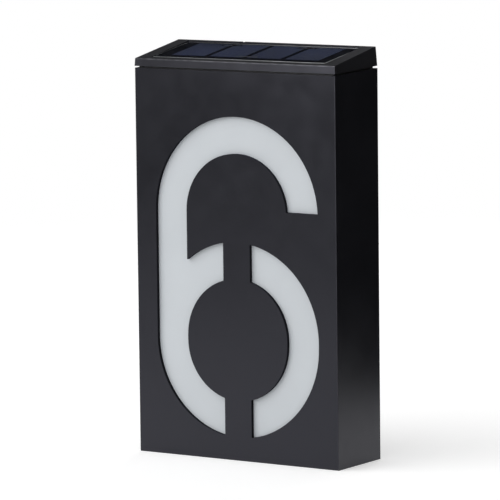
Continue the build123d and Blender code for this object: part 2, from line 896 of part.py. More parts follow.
# ---------------------------------------------------------------- lid
def lid_block():
    """The lid's outer form: drafted sides between the seam and the sloping top."""
    base_z = lid_seam_z(front_y)
    tall = rim_z(back_y) + lid_back_height - base_z
    body = Pos(0, 0, base_z) * extrude(Rectangle(width, depth), tall, taper=lid_draft)
    reach = depth
    over_z = rim_z(back_y + reach) + lid_back_height
    above = [
        (front_y - reach, rim_z(front_y - reach)),
        (back_y + reach, rim_z(back_y + reach)),
        (back_y + reach, over_z),
        (front_y - reach, over_z),
    ]
    below = [
        (front_y - reach, lid_seam_z(front_y - reach)),
        (front_y - reach, base_z - lid_back_height),
        (back_y + reach, base_z - lid_back_height),
        (back_y + reach, lid_seam_z(back_y + reach)),
    ]
    body -= prism_x(above, -width, width)
    return body - prism_x(below, -width, width)


def panel_room():
    """The seat that the solar panel lies in, open upwards."""
    half = panel_width / 2 + panel_gap
    room = block((-half, half), (-panel_gap, panel_length + panel_gap), (0, lid_back_height))
    return panel_place(room)


def lid_cavity():
    """The hollow under the panel's seat, open downwards."""
    front = front_y + lid_cavity_front
    back = back_y - lid_cavity_back

    def ceiling(y):
        return panel_seat_z + math.tan(panel_slope) * (y - panel_y0) - lid_floor

    profile = [
        (front, lid_seam_z(front) - lid_back_height),
        (back, lid_seam_z(back) - lid_back_height),
        (back, ceiling(back)),
        (front, ceiling(front)),
    ]
    half = width / 2 - lid_cavity_side
    return prism_x(profile, -half, half)


def cap_shell():
    """Wedge lid with the panel's seat, a hollow underside and blind holes for its screws."""
    body = fillet(lid_block().edges().group_by(Axis.Z)[-1], lid_edge_radius)
    body -= panel_room()
    body -= lid_cavity()
    for side in (-1, 1):
        for y in lid_screw_y:
            seat_z = seam_z(y - m25_head) - sheet
            top = seat_z + lid_screw_length + thread_clear
            bore = m25_shank + thread_clear
            body -= rod_z(side * lid_screw_x, y, seat_z, top, bore)
    body -= rod_z(0, lead_y, lid_seam_z(lead_y), rim_z(lead_y), lead_hole_radius)
    notch_z = (rim_z(back_y) - drain_depth, rim_z(back_y) + lid_back_height)
    body -= block(about(drain_x, drain_width), (panel_y0 + panel_length, back_y), notch_z)
    return body


def cap_gasket():
    """Rubber neck between box and lid, set in from their faces."""
    outer_y = depth / 2 - neck_inset
    outer_x = width / 2 - neck_inset

    def slab(reach_x, reach_y):
        profile = [
            (-reach_y, seam_z(-reach_y)),
            (reach_y, seam_z(reach_y)),
            (reach_y, lid_seam_z(reach_y)),
            (-reach_y, lid_seam_z(-reach_y)),
        ]
        return prism_x(profile, -reach_x, reach_x)

    ring = slab(outer_x, outer_y)
    ring -= block(
        about(0, 2 * (outer_x - neck_width)),
        about(0, 2 * (outer_y - neck_width)),
        (front_height - sheet, front_height + lid_back_height),
    )
    for side in (-1, 1):
        for y in lid_screw_y:
            ring -= rod_z(
                side * lid_screw_x, y, seam_z(y) - sheet, seam_z(y) + 2 * sheet, m25_shank + hole_clear
            )
    return ring


def cap_screws():
    """Four screws from inside the box up into the lid."""
    one = FACING_DOWN * screw(m25_shank, m25_head, m25_head_height, lid_screw_length)
    return grouped(
        [
            Pos(side * lid_screw_x, y, seam_z(y - m25_head) - sheet) * one
            for side in (-1, 1)
            for y in lid_screw_y
        ]
    )


def lead_grommet():
    """Rubber ring in the top wall's wire hole, with a lip above and below."""
    bore = lead_hole_radius - grommet_wall
    lip = lead_hole_radius + grommet_lip
    low = seam_z(lead_y - lip) - sheet
    high = seam_z(lead_y + lip)
    neck = rod_z(0, lead_y, low, high, lead_hole_radius - thread_clear)
    lips = rod_z(0, lead_y, high, high + grommet_lip / 2, lip)
    lips += rod_z(0, lead_y, low - grommet_lip, low, lip)
    return neck + lips - rod_z(0, lead_y, low - grommet_lip, high + grommet_lip, bore)


# ---------------------------------------------------------------- solar panel
backing_z = adhesive_thick
cells_z = backing_z + backing_thick
cover_z = cells_z + cell_space


def panel_slab(x, y, z):
    """A block in the panel's own frame, placed in the lid."""
    return panel_place(block(x, y, z))


def panel_adhesive():
    """Bonding pad under the carrier board, with a hole for the wires."""
    half = panel_width / 2 - adhesive_inset
    pad = block((-half, half), (adhesive_inset, panel_length - adhesive_inset), (0, backing_z))
    hole_y = (lead_y - panel_y0) / math.cos(panel_slope)
    return panel_place(pad - rod_z(0, hole_y, -1, backing_z + 1, lead_hole_radius + grommet_wall))


def solar_backing():
    """Black carrier board of the solar panel."""
    return panel_slab(about(0, panel_width), (0, panel_length), (backing_z, cells_z))


def solar_cell_middles():
    """The cells' middles on X."""
    first = -panel_width / 2 + solar_left_margin + solar_cell_width / 2
    return [first + number * solar_cell_pitch for number in range(solar_cell_count)]


def solar_cell_span():
    """The cells' limits along the slope."""
    return (solar_front_margin, panel_length - solar_back_margin)


def solar_cells():
    """Four cells on the carrier board."""
    span = solar_cell_span()
    top = cells_z + solar_cell_thick
    return grouped(
        [panel_slab(about(x, solar_cell_width), span, (cells_z, top)) for x in solar_cell_middles()]
    )


def cell_ribbons():
    """Tinned strips across the gaps, at the front and the rear of the cells in turn."""
    low, high = solar_cell_span()
    bottom = cells_z + solar_cell_thick
    middles = solar_cell_middles()
    strips = []
    for number, (left, right) in enumerate(zip(middles, middles[1:])):
        y = low + ribbon_inset if number % 2 else high - ribbon_inset
        gap_x = (left + right) / 2
        span = solar_cell_gap + 2 * ribbon_reach
        strips.append(
            panel_slab(about(gap_x, span), about(y, ribbon_width), (bottom, bottom + ribbon_thick))
        )
    return grouped(strips)


def solar_cover():
    """Clear plate over the cells, with a rim down to the carrier board."""
    plate = block(about(0, panel_width), (0, panel_length), (cells_z, cover_z + cover_thick))
    room = block(
        about(0, panel_width - 2 * cover_rim),
        (cover_rim, panel_length - cover_rim),
        (cells_z, cover_z),
    )
    return panel_place(plate - room)


# ---------------------------------------------------------------- wires
def wire(points, bend):
    """A round wire along straight runs with rounded corners."""
    path = FilletPolyline(*points, radius=bend)
    section = Plane(origin=path @ 0, z_dir=path % 0) * Circle(wire_radius)
    return sweep(section, path=path)


def solar_lead(side):
    """One wire from the solar panel down to the control board's upper socket."""
    x = side * wire_pitch / 2
    board_top = board_z + board_height / 2
    near_y = lead_y - wire_radius
    start_z = panel_seat_z + math.tan(panel_slope) * (near_y - panel_y0)
    start_z += adhesive_thick / math.cos(panel_slope)
    low_z = seam_z(lead_y) - sheet - lead_bend
    points = [
        (x, lead_y, start_z),
        (x, lead_y, low_z),
        (x, plug_y, low_z - 2 * lead_bend),
        (x, plug_y, board_top),
    ]
    return wire(points, lead_bend)


def battery_lead(side):
    """One wire from a contact's tail up to the control board's lower socket."""
    mouth_z = board_z - board_height / 2
    tail_x = side * (pocket_length / 2 - contact_thick - wire_radius)
    tail_z = battery_z + pocket_height / 2 + pocket_wall + contact_tail_out / 2
    middle_z = (tail_z + mouth_z) / 2
    points = [
        (tail_x, cell_y, tail_z),
        (tail_x, cell_y, middle_z - tight_bend),
        (side * wire_pitch / 2, plug_y, middle_z + tight_bend),
        (side * wire_pitch / 2, plug_y, mouth_z),
    ]
    return wire(points, tight_bend)


def led_lead(side):
    """One wire from the LED board's rear, through the tray's window, to the side socket."""
    z = board_z + side * wire_pitch / 2
    mouth_x = board_width / 2
    points = [(led_window_x, tray_floor_y, z), (led_window_x, plug_y, z), (mouth_x, plug_y, z)]
    return wire(points, tight_bend)


# ---------------------------------------------------------------- export
PIECES = {
    "housing_shell": housing_shell(),
    "cover_posts": cover_posts(),
    "tray_posts": tray_posts(),
    "diffuser_panel": diffuser_panel(),
    "diffuser_gasket": diffuser_gasket(),
    "reflector_tray": reflector_tray(),
    "tray_screws": tray_screws(),
    "led_board": led_board(),
    "led_lamps": led_lamps(),
    "led_board_screws": led_board_screws(),
    "led_lead_plus": led_lead(1),
    "led_lead_minus": led_lead(-1),
    "rear_cover": rear_cover(),
    "rear_seal": rear_seal(),
    "rear_cover_screws": rear_cover_screws(),
    "control_board": control_board(),
    "control_board_screws": control_board_screws(),
    "driver_chip": driver_chip(),
    "choke_coil": choke_coil(),
    "filter_capacitor": filter_capacitor(),
    "wire_headers": wire_headers(),
    "wire_plugs": wire_plugs(),
    "switch_body": switch_body(),
    "switch_knob": switch_knob(),
    "battery_cell": battery_cell(),
    "battery_contact_plus": contact(1),
    "battery_contact_minus": contact(-1),
    "battery_spring": battery_spring(),
    "battery_lead_plus": battery_lead(1),
    "battery_lead_minus": battery_lead(-1),
    "battery_door": battery_door(),
    "battery_door_seal": battery_door_seal(),
    "battery_door_screws": battery_door_screws(),
    "cap_shell": cap_shell(),
    "cap_gasket": cap_gasket(),
    "cap_screws": cap_screws(),
    "lead_grommet": lead_grommet(),
    "solar_lead_plus": solar_lead(1),
    "solar_lead_minus": solar_lead(-1),
    "panel_adhesive": panel_adhesive(),
    "solar_backing": solar_backing(),
    "solar_cells": solar_cells(),
    "cell_ribbons": cell_ribbons(),
    "solar_cover": solar_cover(),
}

os.makedirs("parts", exist_ok=True)
for name, shape in PIECES.items():
    export_step(shape, f"parts/{name}.step")
    print(name)
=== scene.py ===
"""Looks of a solar house number light: its finishes, its fine pieces and a plain studio.

Metres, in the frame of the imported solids: X to the right seen from the front, Y towards the
wall, Z up.
"""

import logging
import math
from dataclasses import dataclass, field
from enum import Enum
from functools import partial, reduce
from itertools import product
from typing import Any, Callable, ClassVar, Sequence

import bmesh
import bpy
import numpy as np
from mathutils import Matrix, Vector


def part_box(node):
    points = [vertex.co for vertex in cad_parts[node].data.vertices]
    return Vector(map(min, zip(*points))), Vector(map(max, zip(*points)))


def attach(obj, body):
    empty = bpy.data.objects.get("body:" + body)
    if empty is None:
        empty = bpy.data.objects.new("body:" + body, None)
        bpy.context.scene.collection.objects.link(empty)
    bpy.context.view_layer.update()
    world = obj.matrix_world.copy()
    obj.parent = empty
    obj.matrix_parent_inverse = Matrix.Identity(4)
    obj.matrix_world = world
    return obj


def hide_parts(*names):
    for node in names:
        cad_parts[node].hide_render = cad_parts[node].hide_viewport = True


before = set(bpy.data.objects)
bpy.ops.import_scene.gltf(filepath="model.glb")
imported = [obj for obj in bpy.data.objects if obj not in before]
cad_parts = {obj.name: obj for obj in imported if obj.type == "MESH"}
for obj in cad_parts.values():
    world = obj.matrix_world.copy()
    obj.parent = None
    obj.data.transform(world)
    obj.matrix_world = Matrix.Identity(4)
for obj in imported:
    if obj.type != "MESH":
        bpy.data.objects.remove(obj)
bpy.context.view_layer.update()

MM = 0.001
MERGE_DISTANCE = 1e-7
SHARP_ANGLE = math.radians(38)
UPWARD = 0.5
WHITE = (1.0, 1.0, 1.0)
BLACK = (0.0, 0.0, 0.0)
DUST = (0.30, 0.29, 0.27)
DUST_ROUGHNESS = 0.4
STREAK_STRETCH = 14
# Waves per metre
EDGE_BREAKUP_WAVES = 260.0
DUST_PATCH_WAVES = 90.0
DUST_SPECK_WAVES = 2200.0

Colour = tuple[float, float, float]
Point = tuple[float, float, float]
Box = tuple[Vector, Vector]
Node = bpy.types.Node
Socket = bpy.types.NodeSocket
Sockets = dict[str, Socket]
log = logging.getLogger("house_number_light")


class Body(str, Enum):
    """The bodies that a piece can ride on."""

    SIGN = "sign_body"
    DOOR = "battery_door"
    KNOB = "switch_knob"


class Relief(Enum):
    """Small-scale surface reliefs, each a node group that puts out a height."""

    ORANGE_PEEL = "orange_peel"
    SPARK_GRAIN = "spark_grain"
    BRUSHED = "brushed"
    SOFT_GRAIN = "soft_grain"


# ---------------------------------------------------------------- node wiring
@dataclass
class Graph:
    """A node tree that is being wired.

    Args:
        tree: the material's or group's node tree.
    """

    tree: bpy.types.NodeTree

    def feed(self, socket: Socket, value: Any) -> None:
        """Links a socket or node into an input, or sets the input to a plain value.

        Args:
            socket: the input.
            value: an output socket, a node whose first output is used, or a value. A colour
                has three parts and is opaque.
        """
        if isinstance(value, Socket):
            self.tree.links.new(value, socket)
        elif isinstance(value, Node):
            self.tree.links.new(value.outputs[0], socket)
        else:
            socket.default_value = (*value, 1.0) if socket.type == "RGBA" else value

    def wire(self, node: Node, inputs: dict) -> Node:
        """Feeds several inputs of a node.

        Args:
            node: the node.
            inputs: input names or numbers, with the value or socket for each.

        Returns:
            The node.
        """
        for key, value in inputs.items():
            self.feed(node.inputs[key], value)
        return node

    def add(self, kind: str, inputs: dict | None = None, **settings: Any) -> Node:
        """Makes a node.

        Args:
            kind: the node's type name.
            inputs: input names or numbers, with the value or socket for each.
            settings: the node's own settings.

        Returns:
            The node.
        """
        node = self.tree.nodes.new(kind)
        for name, value in settings.items():
            setattr(node, name, value)
        return self.wire(node, inputs or {})

    def maths(self, operation: str, *values: Any, clamp: bool = False) -> Socket:
        """One Math node's output from its inputs in order, held between 0 and 1 by clamp."""
        inputs = dict(enumerate(values))
        return self.add("ShaderNodeMath", inputs, operation=operation, use_clamp=clamp).outputs[0]

    def fold(self, operation: str, values: Sequence[Socket]) -> Socket:
        """Joins values, from the first to the last, by one Math operation."""
        return reduce(lambda first, second: self.maths(operation, first, second), values)

    def span(self, value: Any, low: float, high: float, to_low: float, to_high: float,
             smooth: bool = False) -> Socket:
        """Carries a value from one range to another, held at its ends.

        Args:
            value: the value or socket.
            low: start of the first range.
            high: end of the first range.
            to_low: result at low.
            to_high: result at high.
            smooth: whether the change starts and ends gently.

        Returns:
            The output socket.
        """
        kind = "SMOOTHSTEP" if smooth else "LINEAR"
        inputs = {0: value, 1: low, 2: high, 3: to_low, 4: to_high}
        return self.add("ShaderNodeMapRange", inputs, interpolation_type=kind).outputs[0]

    def blend(self, share: Any, first: Any, second: Any) -> Socket:
        """The colour between two colours or sockets: share 0 is the first, 1 the second."""
        inputs = {0: share, 6: first, 7: second}
        return self.add("ShaderNodeMix", inputs, data_type="RGBA").outputs[2]

    def over(self, base: Any, colour: Any, mask: Socket, share: float) -> Socket:
        """A base colour with another over it, where a mask lies and by its share."""
        return self.blend(self.maths("MULTIPLY", mask, share), base, colour)

    def noise(self, place: Any, scale: Any, detail: float) -> Socket:
        """A noise value from 0 to 1 at a place, of so many waves per metre and octaves."""
        inputs = {"Vector": place, "Scale": scale, "Detail": detail}
        return self.add("ShaderNodeTexNoise", inputs).outputs[0]

    def fineness(self, source: Sockets, finer: float = 1.0) -> Socket:
        """Waves per metre that are a number of times finer than an effect's Size."""
        scale = self.maths("DIVIDE", 1.0, source["Size"])
        return scale if finer == 1.0 else self.maths("MULTIPLY", scale, finer)

    def layer(self, source: Sockets, finer: float, detail: float) -> Socket:
        """A noise at an effect's Place, a number of times finer than its Size."""
        return self.noise(source["Place"], self.fineness(source, finer), detail)

    def group(self, effect: "Effect", inputs: dict[str, Any]) -> Node:
        """Places an effect's node group in this tree and feeds its inputs."""
        return self.add("ShaderNodeGroup", inputs, node_tree=effect.tree())


@dataclass(frozen=True)
class Effect:
    """A shader node group that materials share.

    Args:
        name: the group's name.
        inputs: input names and socket types.
        outputs: output names and socket types.
        wire: fills the group, from its graph, its input sockets by name and its output node.
    """

    name: str
    inputs: dict[str, str]
    outputs: dict[str, str]
    wire: Callable[[Graph, Sockets, Node], None]

    def tree(self) -> bpy.types.NodeTree:
        """The group's node tree, made at its first use.

        Returns:
            The tree.
        """
        found = bpy.data.node_groups.get(self.name)
        if found is not None:
            return found
        tree = bpy.data.node_groups.new(self.name, "ShaderNodeTree")
        for names, way in ((self.inputs, "INPUT"), (self.outputs, "OUTPUT")):
            for name, kind in names.items():
                tree.interface.new_socket(name, in_out=way, socket_type="NodeSocket" + kind)
        graph = Graph(tree)
        start = graph.add("NodeGroupInput")
        end = graph.add("NodeGroupOutput")
        self.wire(graph, {name: start.outputs[name] for name in self.inputs}, end)
        return tree


def wire_tone_drift(graph: Graph, source: Sockets, end: Node) -> None:
    """Colour times 1 plus Amount times a noise from -1 to 1 of wavelength Size.

    Args:
        graph: the group's graph.
        source: its inputs.
        end: its output node.
    """
    wave = graph.span(graph.layer(source, 1.0, 4.0), 0.3, 0.7, -1.0, 1.0)
    factor = graph.maths("MULTIPLY_ADD", wave, source["Amount"], 1.0)
    inputs = {0: source["Colour"], "Scale": factor}
    graph.wire(end, {"Colour": graph.add("ShaderNodeVectorMath", inputs, operation="SCALE")})


def wire_handling(graph: Graph, source: Sockets, end: Node) -> None:
    """Roughness plus Amount times two layered noises: broad wipe marks and finer smudges.

    Args:
        graph: the group's graph.
        source: its inputs.
        end: its output node.
    """
    broad = graph.span(graph.layer(source, 1.0, 2.0), 0.35, 0.65, -0.6, 0.6)
    fine = graph.span(graph.layer(source, 6.0, 5.0), 0.4, 0.7, -0.4, 0.4)
    both = graph.maths("ADD", broad, fine)
    rough = graph.maths("MULTIPLY_ADD", both, source["Amount"], source["Roughness"], clamp=True)
    graph.wire(end, {"Roughness": rough})


def wire_orange_peel(graph: Graph, source: Sockets, end: Node) -> None:
    """Height: soft lumps of wavelength Size with finer grit. Fleck: rare bright grains.

    Args:
        graph: the group's graph.
        source: its inputs.
        end: its output node.
    """
    lumps, grit = graph.layer(source, 1.0, 1.0), graph.layer(source, 5.0, 2.0)
    inputs = {"Vector": source["Place"], "Scale": graph.fineness(source, 5.0)}
    cells = graph.add("ShaderNodeTexVoronoi", inputs)
    grain = graph.maths("LESS_THAN", cells.outputs["Distance"], 0.22)
    chance = graph.add("ShaderNodeSeparateColor", {0: cells.outputs["Color"]})
    rare = graph.maths("GREATER_THAN", chance.outputs[0], 0.8)
    graph.wire(end, {"Height": graph.maths("MULTIPLY_ADD", grit, 0.45, lumps),
                     "Fleck": graph.maths("MULTIPLY", grain, rare)})


def wire_spark_grain(graph: Graph, source: Sockets, end: Node) -> None:
    """Height: the rounded pits of a spark-eroded mould, of width Size, with fine noise on them.

    Args:
        graph: the group's graph.
        source: its inputs.
        end: its output node.
    """
    inputs = {"Vector": source["Place"], "Scale": graph.fineness(source), "Smoothness": 0.6}
    cells = graph.add("ShaderNodeTexVoronoi", inputs, feature="SMOOTH_F1")
    fine = graph.layer(source, 2.6, 2.0)
    graph.wire(end, {"Height": graph.maths("MULTIPLY_ADD", fine, 0.5, cells.outputs["Distance"]),
                     "Fleck": graph.span(fine, 0.62, 0.72, 0.0, 1.0, smooth=True)})


def wire_brushed(graph: Graph, source: Sockets, end: Node) -> None:
    """Height: noise of width Size drawn out along X. Fleck: its brightest streaks.

    Args:
        graph: the group's graph.
        source: its inputs.
        end: its output node.
    """
    inputs = {"Vector": source["Place"], "Scale": (1 / STREAK_STRETCH, 1.0, 1.0)}
    drawn = graph.add("ShaderNodeMapping", inputs)
    streaks = graph.noise(drawn, graph.fineness(source), 3.0)
    graph.wire(end, {"Height": streaks,
                     "Fleck": graph.span(streaks, 0.6, 0.75, 0.0, 1.0, smooth=True)})


def wire_soft_grain(graph: Graph, source: Sockets, end: Node) -> None:
    """Height: three octaves of noise of wavelength Size. Fleck: its high spots.

    Args:
        graph: the group's graph.
        source: its inputs.
        end: its output node.
    """
    grain = graph.layer(source, 1.0, 3.0)
    graph.wire(end, {"Height": grain,
                     "Fleck": graph.span(grain, 0.62, 0.74, 0.0, 1.0, smooth=True)})


def box_depths(graph: Graph, source: Sockets) -> list[Socket]:
    """How deep Place lies under each pair of faces of the box from Low to High.

    Args:
        graph: the effect's graph.
        source: the effect's inputs.

    Returns:
        The least distance to each pair of faces, below zero outside them.
    """
    split = [graph.add("ShaderNodeSeparateXYZ", {0: source[name]}) for name in
             ("Place", "Low", "High")]
    depths = []
    for axis in range(3):
        point, low, high = (node.outputs[axis] for node in split)
        above = graph.maths("SUBTRACT", point, low)
        below = graph.maths("SUBTRACT", high, point)
        depths.append(graph.maths("MINIMUM", above, below))
    return depths


def wire_box_edges(graph: Graph, source: Sockets, end: Node) -> None:
    """Mask of the edges of the box from Low to High.

    A point on an edge is near two pairs of the box's faces, so the middle one of its distances
    to the three pairs is small there. It is compared with Width and broken up by noise.

    Args:
        graph: the group's graph.
        source: its inputs.
        end: its output node.
    """
    sides = [graph.maths("ABSOLUTE", depth) for depth in box_depths(graph, source)]
    pairs = [graph.maths("MAXIMUM", sides[a], sides[b]) for a, b in ((0, 1), (1, 2), (0, 2))]
    near = graph.maths("DIVIDE", graph.fold("MINIMUM", pairs), source["Width"])
    share = graph.maths("SUBTRACT", 1.0, near, clamp=True)
    broken = graph.span(graph.noise(source["Place"], EDGE_BREAKUP_WAVES, 6.0), 0.35, 0.62, 0.15, 1.0)
    graph.wire(end, {"Mask": graph.maths("MULTIPLY", share, broken)})


def wire_settled_dust(graph: Graph, source: Sockets, end: Node) -> None:
    """Colour with dust on it: more where Up, the normal's rise, is near 1, in a patchy layer.

    Args:
        graph: the group's graph.
        source: its inputs.
        end: its output node.
    """
    lying = graph.span(source["Up"], 0.2, 0.95, 0.12, 1.0, smooth=True)
    broad = graph.noise(source["Place"], DUST_PATCH_WAVES, 5.0)
    fine = graph.noise(source["Place"], DUST_SPECK_WAVES, 2.0)
    patches = graph.span(broad, 0.35, 0.75, 0.2, 1.0)
    specks = graph.span(fine, 0.55, 0.75, 0.25, 1.0)
    layer = graph.fold("MULTIPLY", (lying, patches, specks))
    mask = graph.maths("MULTIPLY", layer, source["Amount"], clamp=True)
    dusty = graph.blend(mask, source["Colour"], source["Dust"])
    graph.wire(end, {"Colour": dusty, "Mask": mask})


def wire_cut_walls(graph: Graph, source: Sockets, end: Node) -> None:
    """Mask of the faces that stand across a sheet that lies in X and Z, from Low to High.

    Such a face's normal has hardly any Y. A point is between the two corners where its least
    depth under the three pairs of faces is above zero.

    Args:
        graph: the group's graph.
        source: its inputs.
        end: its output node.
    """
    facing = graph.add("ShaderNodeSeparateXYZ", {0: source["Normal"]})
    across = graph.maths("LESS_THAN", graph.maths("ABSOLUTE", facing.outputs["Y"]), 0.5)
    inside = graph.fold("MINIMUM", box_depths(graph, source))
    between = graph.maths("GREATER_THAN", inside, 0.0)
    graph.wire(end, {"Mask": graph.maths("MULTIPLY", across, between)})


RELIEF_OUT = {"Height": "Float", "Fleck": "Float"}
RELIEF_IN = {"Place": "Vector", "Size": "Float"}
TONE_DRIFT = Effect(
    "tone_drift",
    {"Place": "Vector", "Colour": "Color", "Size": "Float", "Amount": "Float"},
    {"Colour": "Color"},
    wire_tone_drift,
)
HANDLING = Effect(
    "handling",
    {"Place": "Vector", "Roughness": "Float", "Size": "Float", "Amount": "Float"},
    {"Roughness": "Float"},
    wire_handling,
)
BOX_EDGES = Effect(
    "box_edges",
    {"Place": "Vector", "Low": "Vector", "High": "Vector", "Width": "Float"},
    {"Mask": "Float"},
    wire_box_edges,
)
CUT_WALLS = Effect(
    "cut_walls",
    {"Place": "Vector", "Normal": "Vector", "Low": "Vector", "High": "Vector"},
    {"Mask": "Float"},
    wire_cut_walls,
)
SETTLED_DUST = Effect(
    "settled_dust",
    {"Place": "Vector", "Colour": "Color", "Dust": "Color", "Up": "Float", "Amount": "Float"},
    {"Colour": "Color", "Mask": "Float"},
    wire_settled_dust,
)
RELIEFS = {
    Relief.ORANGE_PEEL: Effect("orange_peel", RELIEF_IN, RELIEF_OUT, wire_orange_peel),
    Relief.SPARK_GRAIN: Effect("spark_grain", RELIEF_IN, RELIEF_OUT, wire_spark_grain),
    Relief.BRUSHED: Effect("brushed", RELIEF_IN, RELIEF_OUT, wire_brushed),
    Relief.SOFT_GRAIN: Effect("soft_grain", RELIEF_IN, RELIEF_OUT, wire_soft_grain),
}


# ---------------------------------------------------------------- finishes
@dataclass(frozen=True)
class Finish:
    """One surface finish of the light.

    Args:
        slot: the record's material slot.
        colour: base colour.
        roughness: middle roughness.
        metallic: 1 for bare metal.
        drift: share by which the tone wanders.
        drift_size: wavelength of that wandering.
        smudge: how far handling changes the roughness.
        relief: kind of small relief.
        relief_size: its wavelength.
        relief_depth: its height.
        fleck: colour of the relief's flecks.
        fleck_share: how much of it shows.
        rub: colour of worn edges.
        rub_share: how much of it shows.
        rub_width: how far the rub reaches from an edge.
        dust: how much dust has settled on faces that look up.
        ior: index of refraction.
        coat: weight of a clear coat.
        transmission: 1 for a clear plate.
        tint: colour of what it reflects face on.
    """

    slot: str
    colour: Colour
    roughness: float
    metallic: float = 0.0
    drift: float = 0.08
    drift_size: float = 24 * MM
    smudge: float = 0.06
    relief: Relief = Relief.SOFT_GRAIN
    relief_size: float = 0.5 * MM
    relief_depth: float = 0.004 * MM
    fleck: Colour = (0.1, 0.1, 0.1)
    fleck_share: float = 0.0
    rub: Colour = (0.1, 0.1, 0.1)
    rub_share: float = 0.0
    rub_width: float = 0.5 * MM
    dust: float = 0.0
    ior: float = 1.5
    coat: float = 0.0
    transmission: float = 0.0
    tint: Colour = WHITE

    def pattern(self, graph: Graph, place: Socket) -> Any:
        """The colour, or its socket, before drift and dust. A plain finish has one colour."""
        return self.colour

    def material(self, box: Box | None = None) -> bpy.types.Material:
        """Builds the finish as a material.

        A clear plate shows itself to the camera alone, so lamps light what lies under it.

        Args:
            box: the corners of the piece, whose edges are worn.

        Returns:
            The material.
        """
        made, graph, shader = shaded(self.slot)
        made.diffuse_color = (*self.colour, 1.0)
        place = graph.add("ShaderNodeTexCoord").outputs["Object"]
        relief = graph.group(RELIEFS[self.relief], {"Place": place, "Size": self.relief_size})
        drift = {"Place": place, "Colour": self.pattern(graph, place),
                 "Size": self.drift_size, "Amount": self.drift}
        colour = graph.group(TONE_DRIFT, drift).outputs["Colour"]
        if self.fleck_share:
            colour = graph.over(colour, self.fleck, relief.outputs["Fleck"], self.fleck_share)
        if self.rub_share and box:
            edges = {"Place": place, "Low": box[0], "High": box[1], "Width": self.rub_width}
            worn = graph.group(BOX_EDGES, edges).outputs["Mask"]
            colour = graph.over(colour, self.rub, worn, self.rub_share)
        handling = {"Place": place, "Roughness": self.roughness,
                    "Size": 2 * self.drift_size, "Amount": self.smudge}
        rough = graph.group(HANDLING, handling).outputs["Roughness"]
        if self.dust:
            facing = graph.add("ShaderNodeSeparateXYZ",
                               {0: graph.add("ShaderNodeNewGeometry").outputs["Normal"]})
            layer = {"Place": place, "Colour": colour, "Dust": DUST,
                     "Up": facing.outputs["Z"], "Amount": self.dust}
            dusty = graph.group(SETTLED_DUST, layer)
            colour, cover = dusty.outputs["Colour"], dusty.outputs["Mask"]
            rough = graph.maths("MULTIPLY_ADD", cover, DUST_ROUGHNESS, rough, clamp=True)
        bump = graph.add("ShaderNodeBump", {"Height": relief.outputs["Height"],
                                            "Distance": self.relief_depth, "Strength": 1.0})
        wired = {"Metallic": self.metallic, "IOR": self.ior, "Coat Weight": self.coat,
                 "Transmission Weight": self.transmission, "Specular Tint": self.tint,
                 "Base Color": colour, "Roughness": rough, "Normal": bump}
        if self.transmission:
            wired["Alpha"] = graph.add("ShaderNodeLightPath").outputs["Is Camera Ray"]
        self.edges(graph, place, box, wired)
        graph.wire(shader, wired)
        return made

    def edges(self, graph: Graph, place: Socket, box: Box | None, wired: dict[str, Any]) -> None:
        """Changes the wired inputs at a piece's edges, where a finish paints shade or a highlight.
        A plain finish changes nothing.
        """


@dataclass(frozen=True)
class CutSheetFinish(Finish):
    """Coated sheet whose laser-cut walls, inside its front, carry painted shade: a near-black
    colour for walls that stand in shadow.

    Args:
        scale: the colour of the painted shade on the cut walls.
        cut_shade_roughness: its roughness.
        cut_margin: how far inside the front's outline the cuts lie.
        cut_depth: how far back from the front they reach.
    """

    # Painted shade: the near-black colour of the cut walls, which stand in shadow.
    scale: Colour = (0.010, 0.010, 0.011)
    cut_shade_roughness: float = 0.65
    cut_margin: float = 6 * MM
    cut_depth: float = 2.2 * MM

    def edges(self, graph: Graph, place: Socket, box: Box | None, wired: dict[str, Any]) -> None:
        """Painted shade covers the cut walls, which lie behind the front within its margin.

        Args:
            graph: the material's graph.
            place: object coordinates.
            box: the corners of the piece.
            wired: the shader's inputs so far, changed in place.
        """
        low, high = box
        normal = graph.add("ShaderNodeNewGeometry").outputs["Normal"]
        margin = Vector((self.cut_margin, 0.0, self.cut_margin))
        far = Vector((high.x, low.y + self.cut_depth, high.z)) - margin
        walls = {"Place": place, "Normal": normal, "Low": low + margin, "High": far}
        mask = graph.group(CUT_WALLS, walls).outputs["Mask"]
        # Painted shade: near black, rough and fully metallic, so the cut walls show almost no light
        # or reflection.
        wired["Base Color"] = graph.blend(mask, wired["Base Color"], self.scale)
        wired["Roughness"] = graph.span(mask, 0, 1, wired["Roughness"], self.cut_shade_roughness)
        wired["Metallic"] = mask


@dataclass(frozen=True)
class WedgeFinish(Finish):
    """Moulded wedge whose rounded front edge, below the top of its box, has a painted highlight: a
    lighter colour along that edge for the light it catches.

    Args:
        front_highlight: colour of the painted highlight along that edge.
        highlight_share: how much of the painted highlight shows.
        highlight_width: how far the painted highlight reaches from the edge.
        front_height: height of the edge above the wedge's foot.
        clear_of: how far the rub's box reaches past the wedge elsewhere.
    """

    # Painted highlight: a lighter colour along the lid's front edge, for the light that edge
    # catches.
    front_highlight: Colour = (0.20, 0.20, 0.215)
    highlight_share: float = 0.9
    highlight_width: float = 0.62 * MM
    front_height: float = 3.9 * MM
    clear_of: float = 20 * MM

    def edges(self, graph: Graph, place: Socket, box: Box | None, wired: dict[str, Any]) -> None:
        """The painted highlight follows one edge of a box that ends at the front edge's height.

        That box reaches well past the wedge on every other side, so its other edges lie clear.

        Args:
            graph: the material's graph.
            place: object coordinates.
            box: the corners of the piece.
            wired: the shader's inputs so far, changed in place.
        """
        low, high = box
        past = self.clear_of
        reach = {"Low": low - Vector((past, 0.0, past)),
                 "High": Vector((high.x + past, high.y + past, low.z + self.front_height))}
        # Mask of the painted highlight along the front edge.
        painted_glint = graph.group(BOX_EDGES, {"Place": place, "Width": self.highlight_width, **reach})
        wired["Base Color"] = graph.over(wired["Base Color"], self.front_highlight,
                                         painted_glint.outputs["Mask"], self.highlight_share)


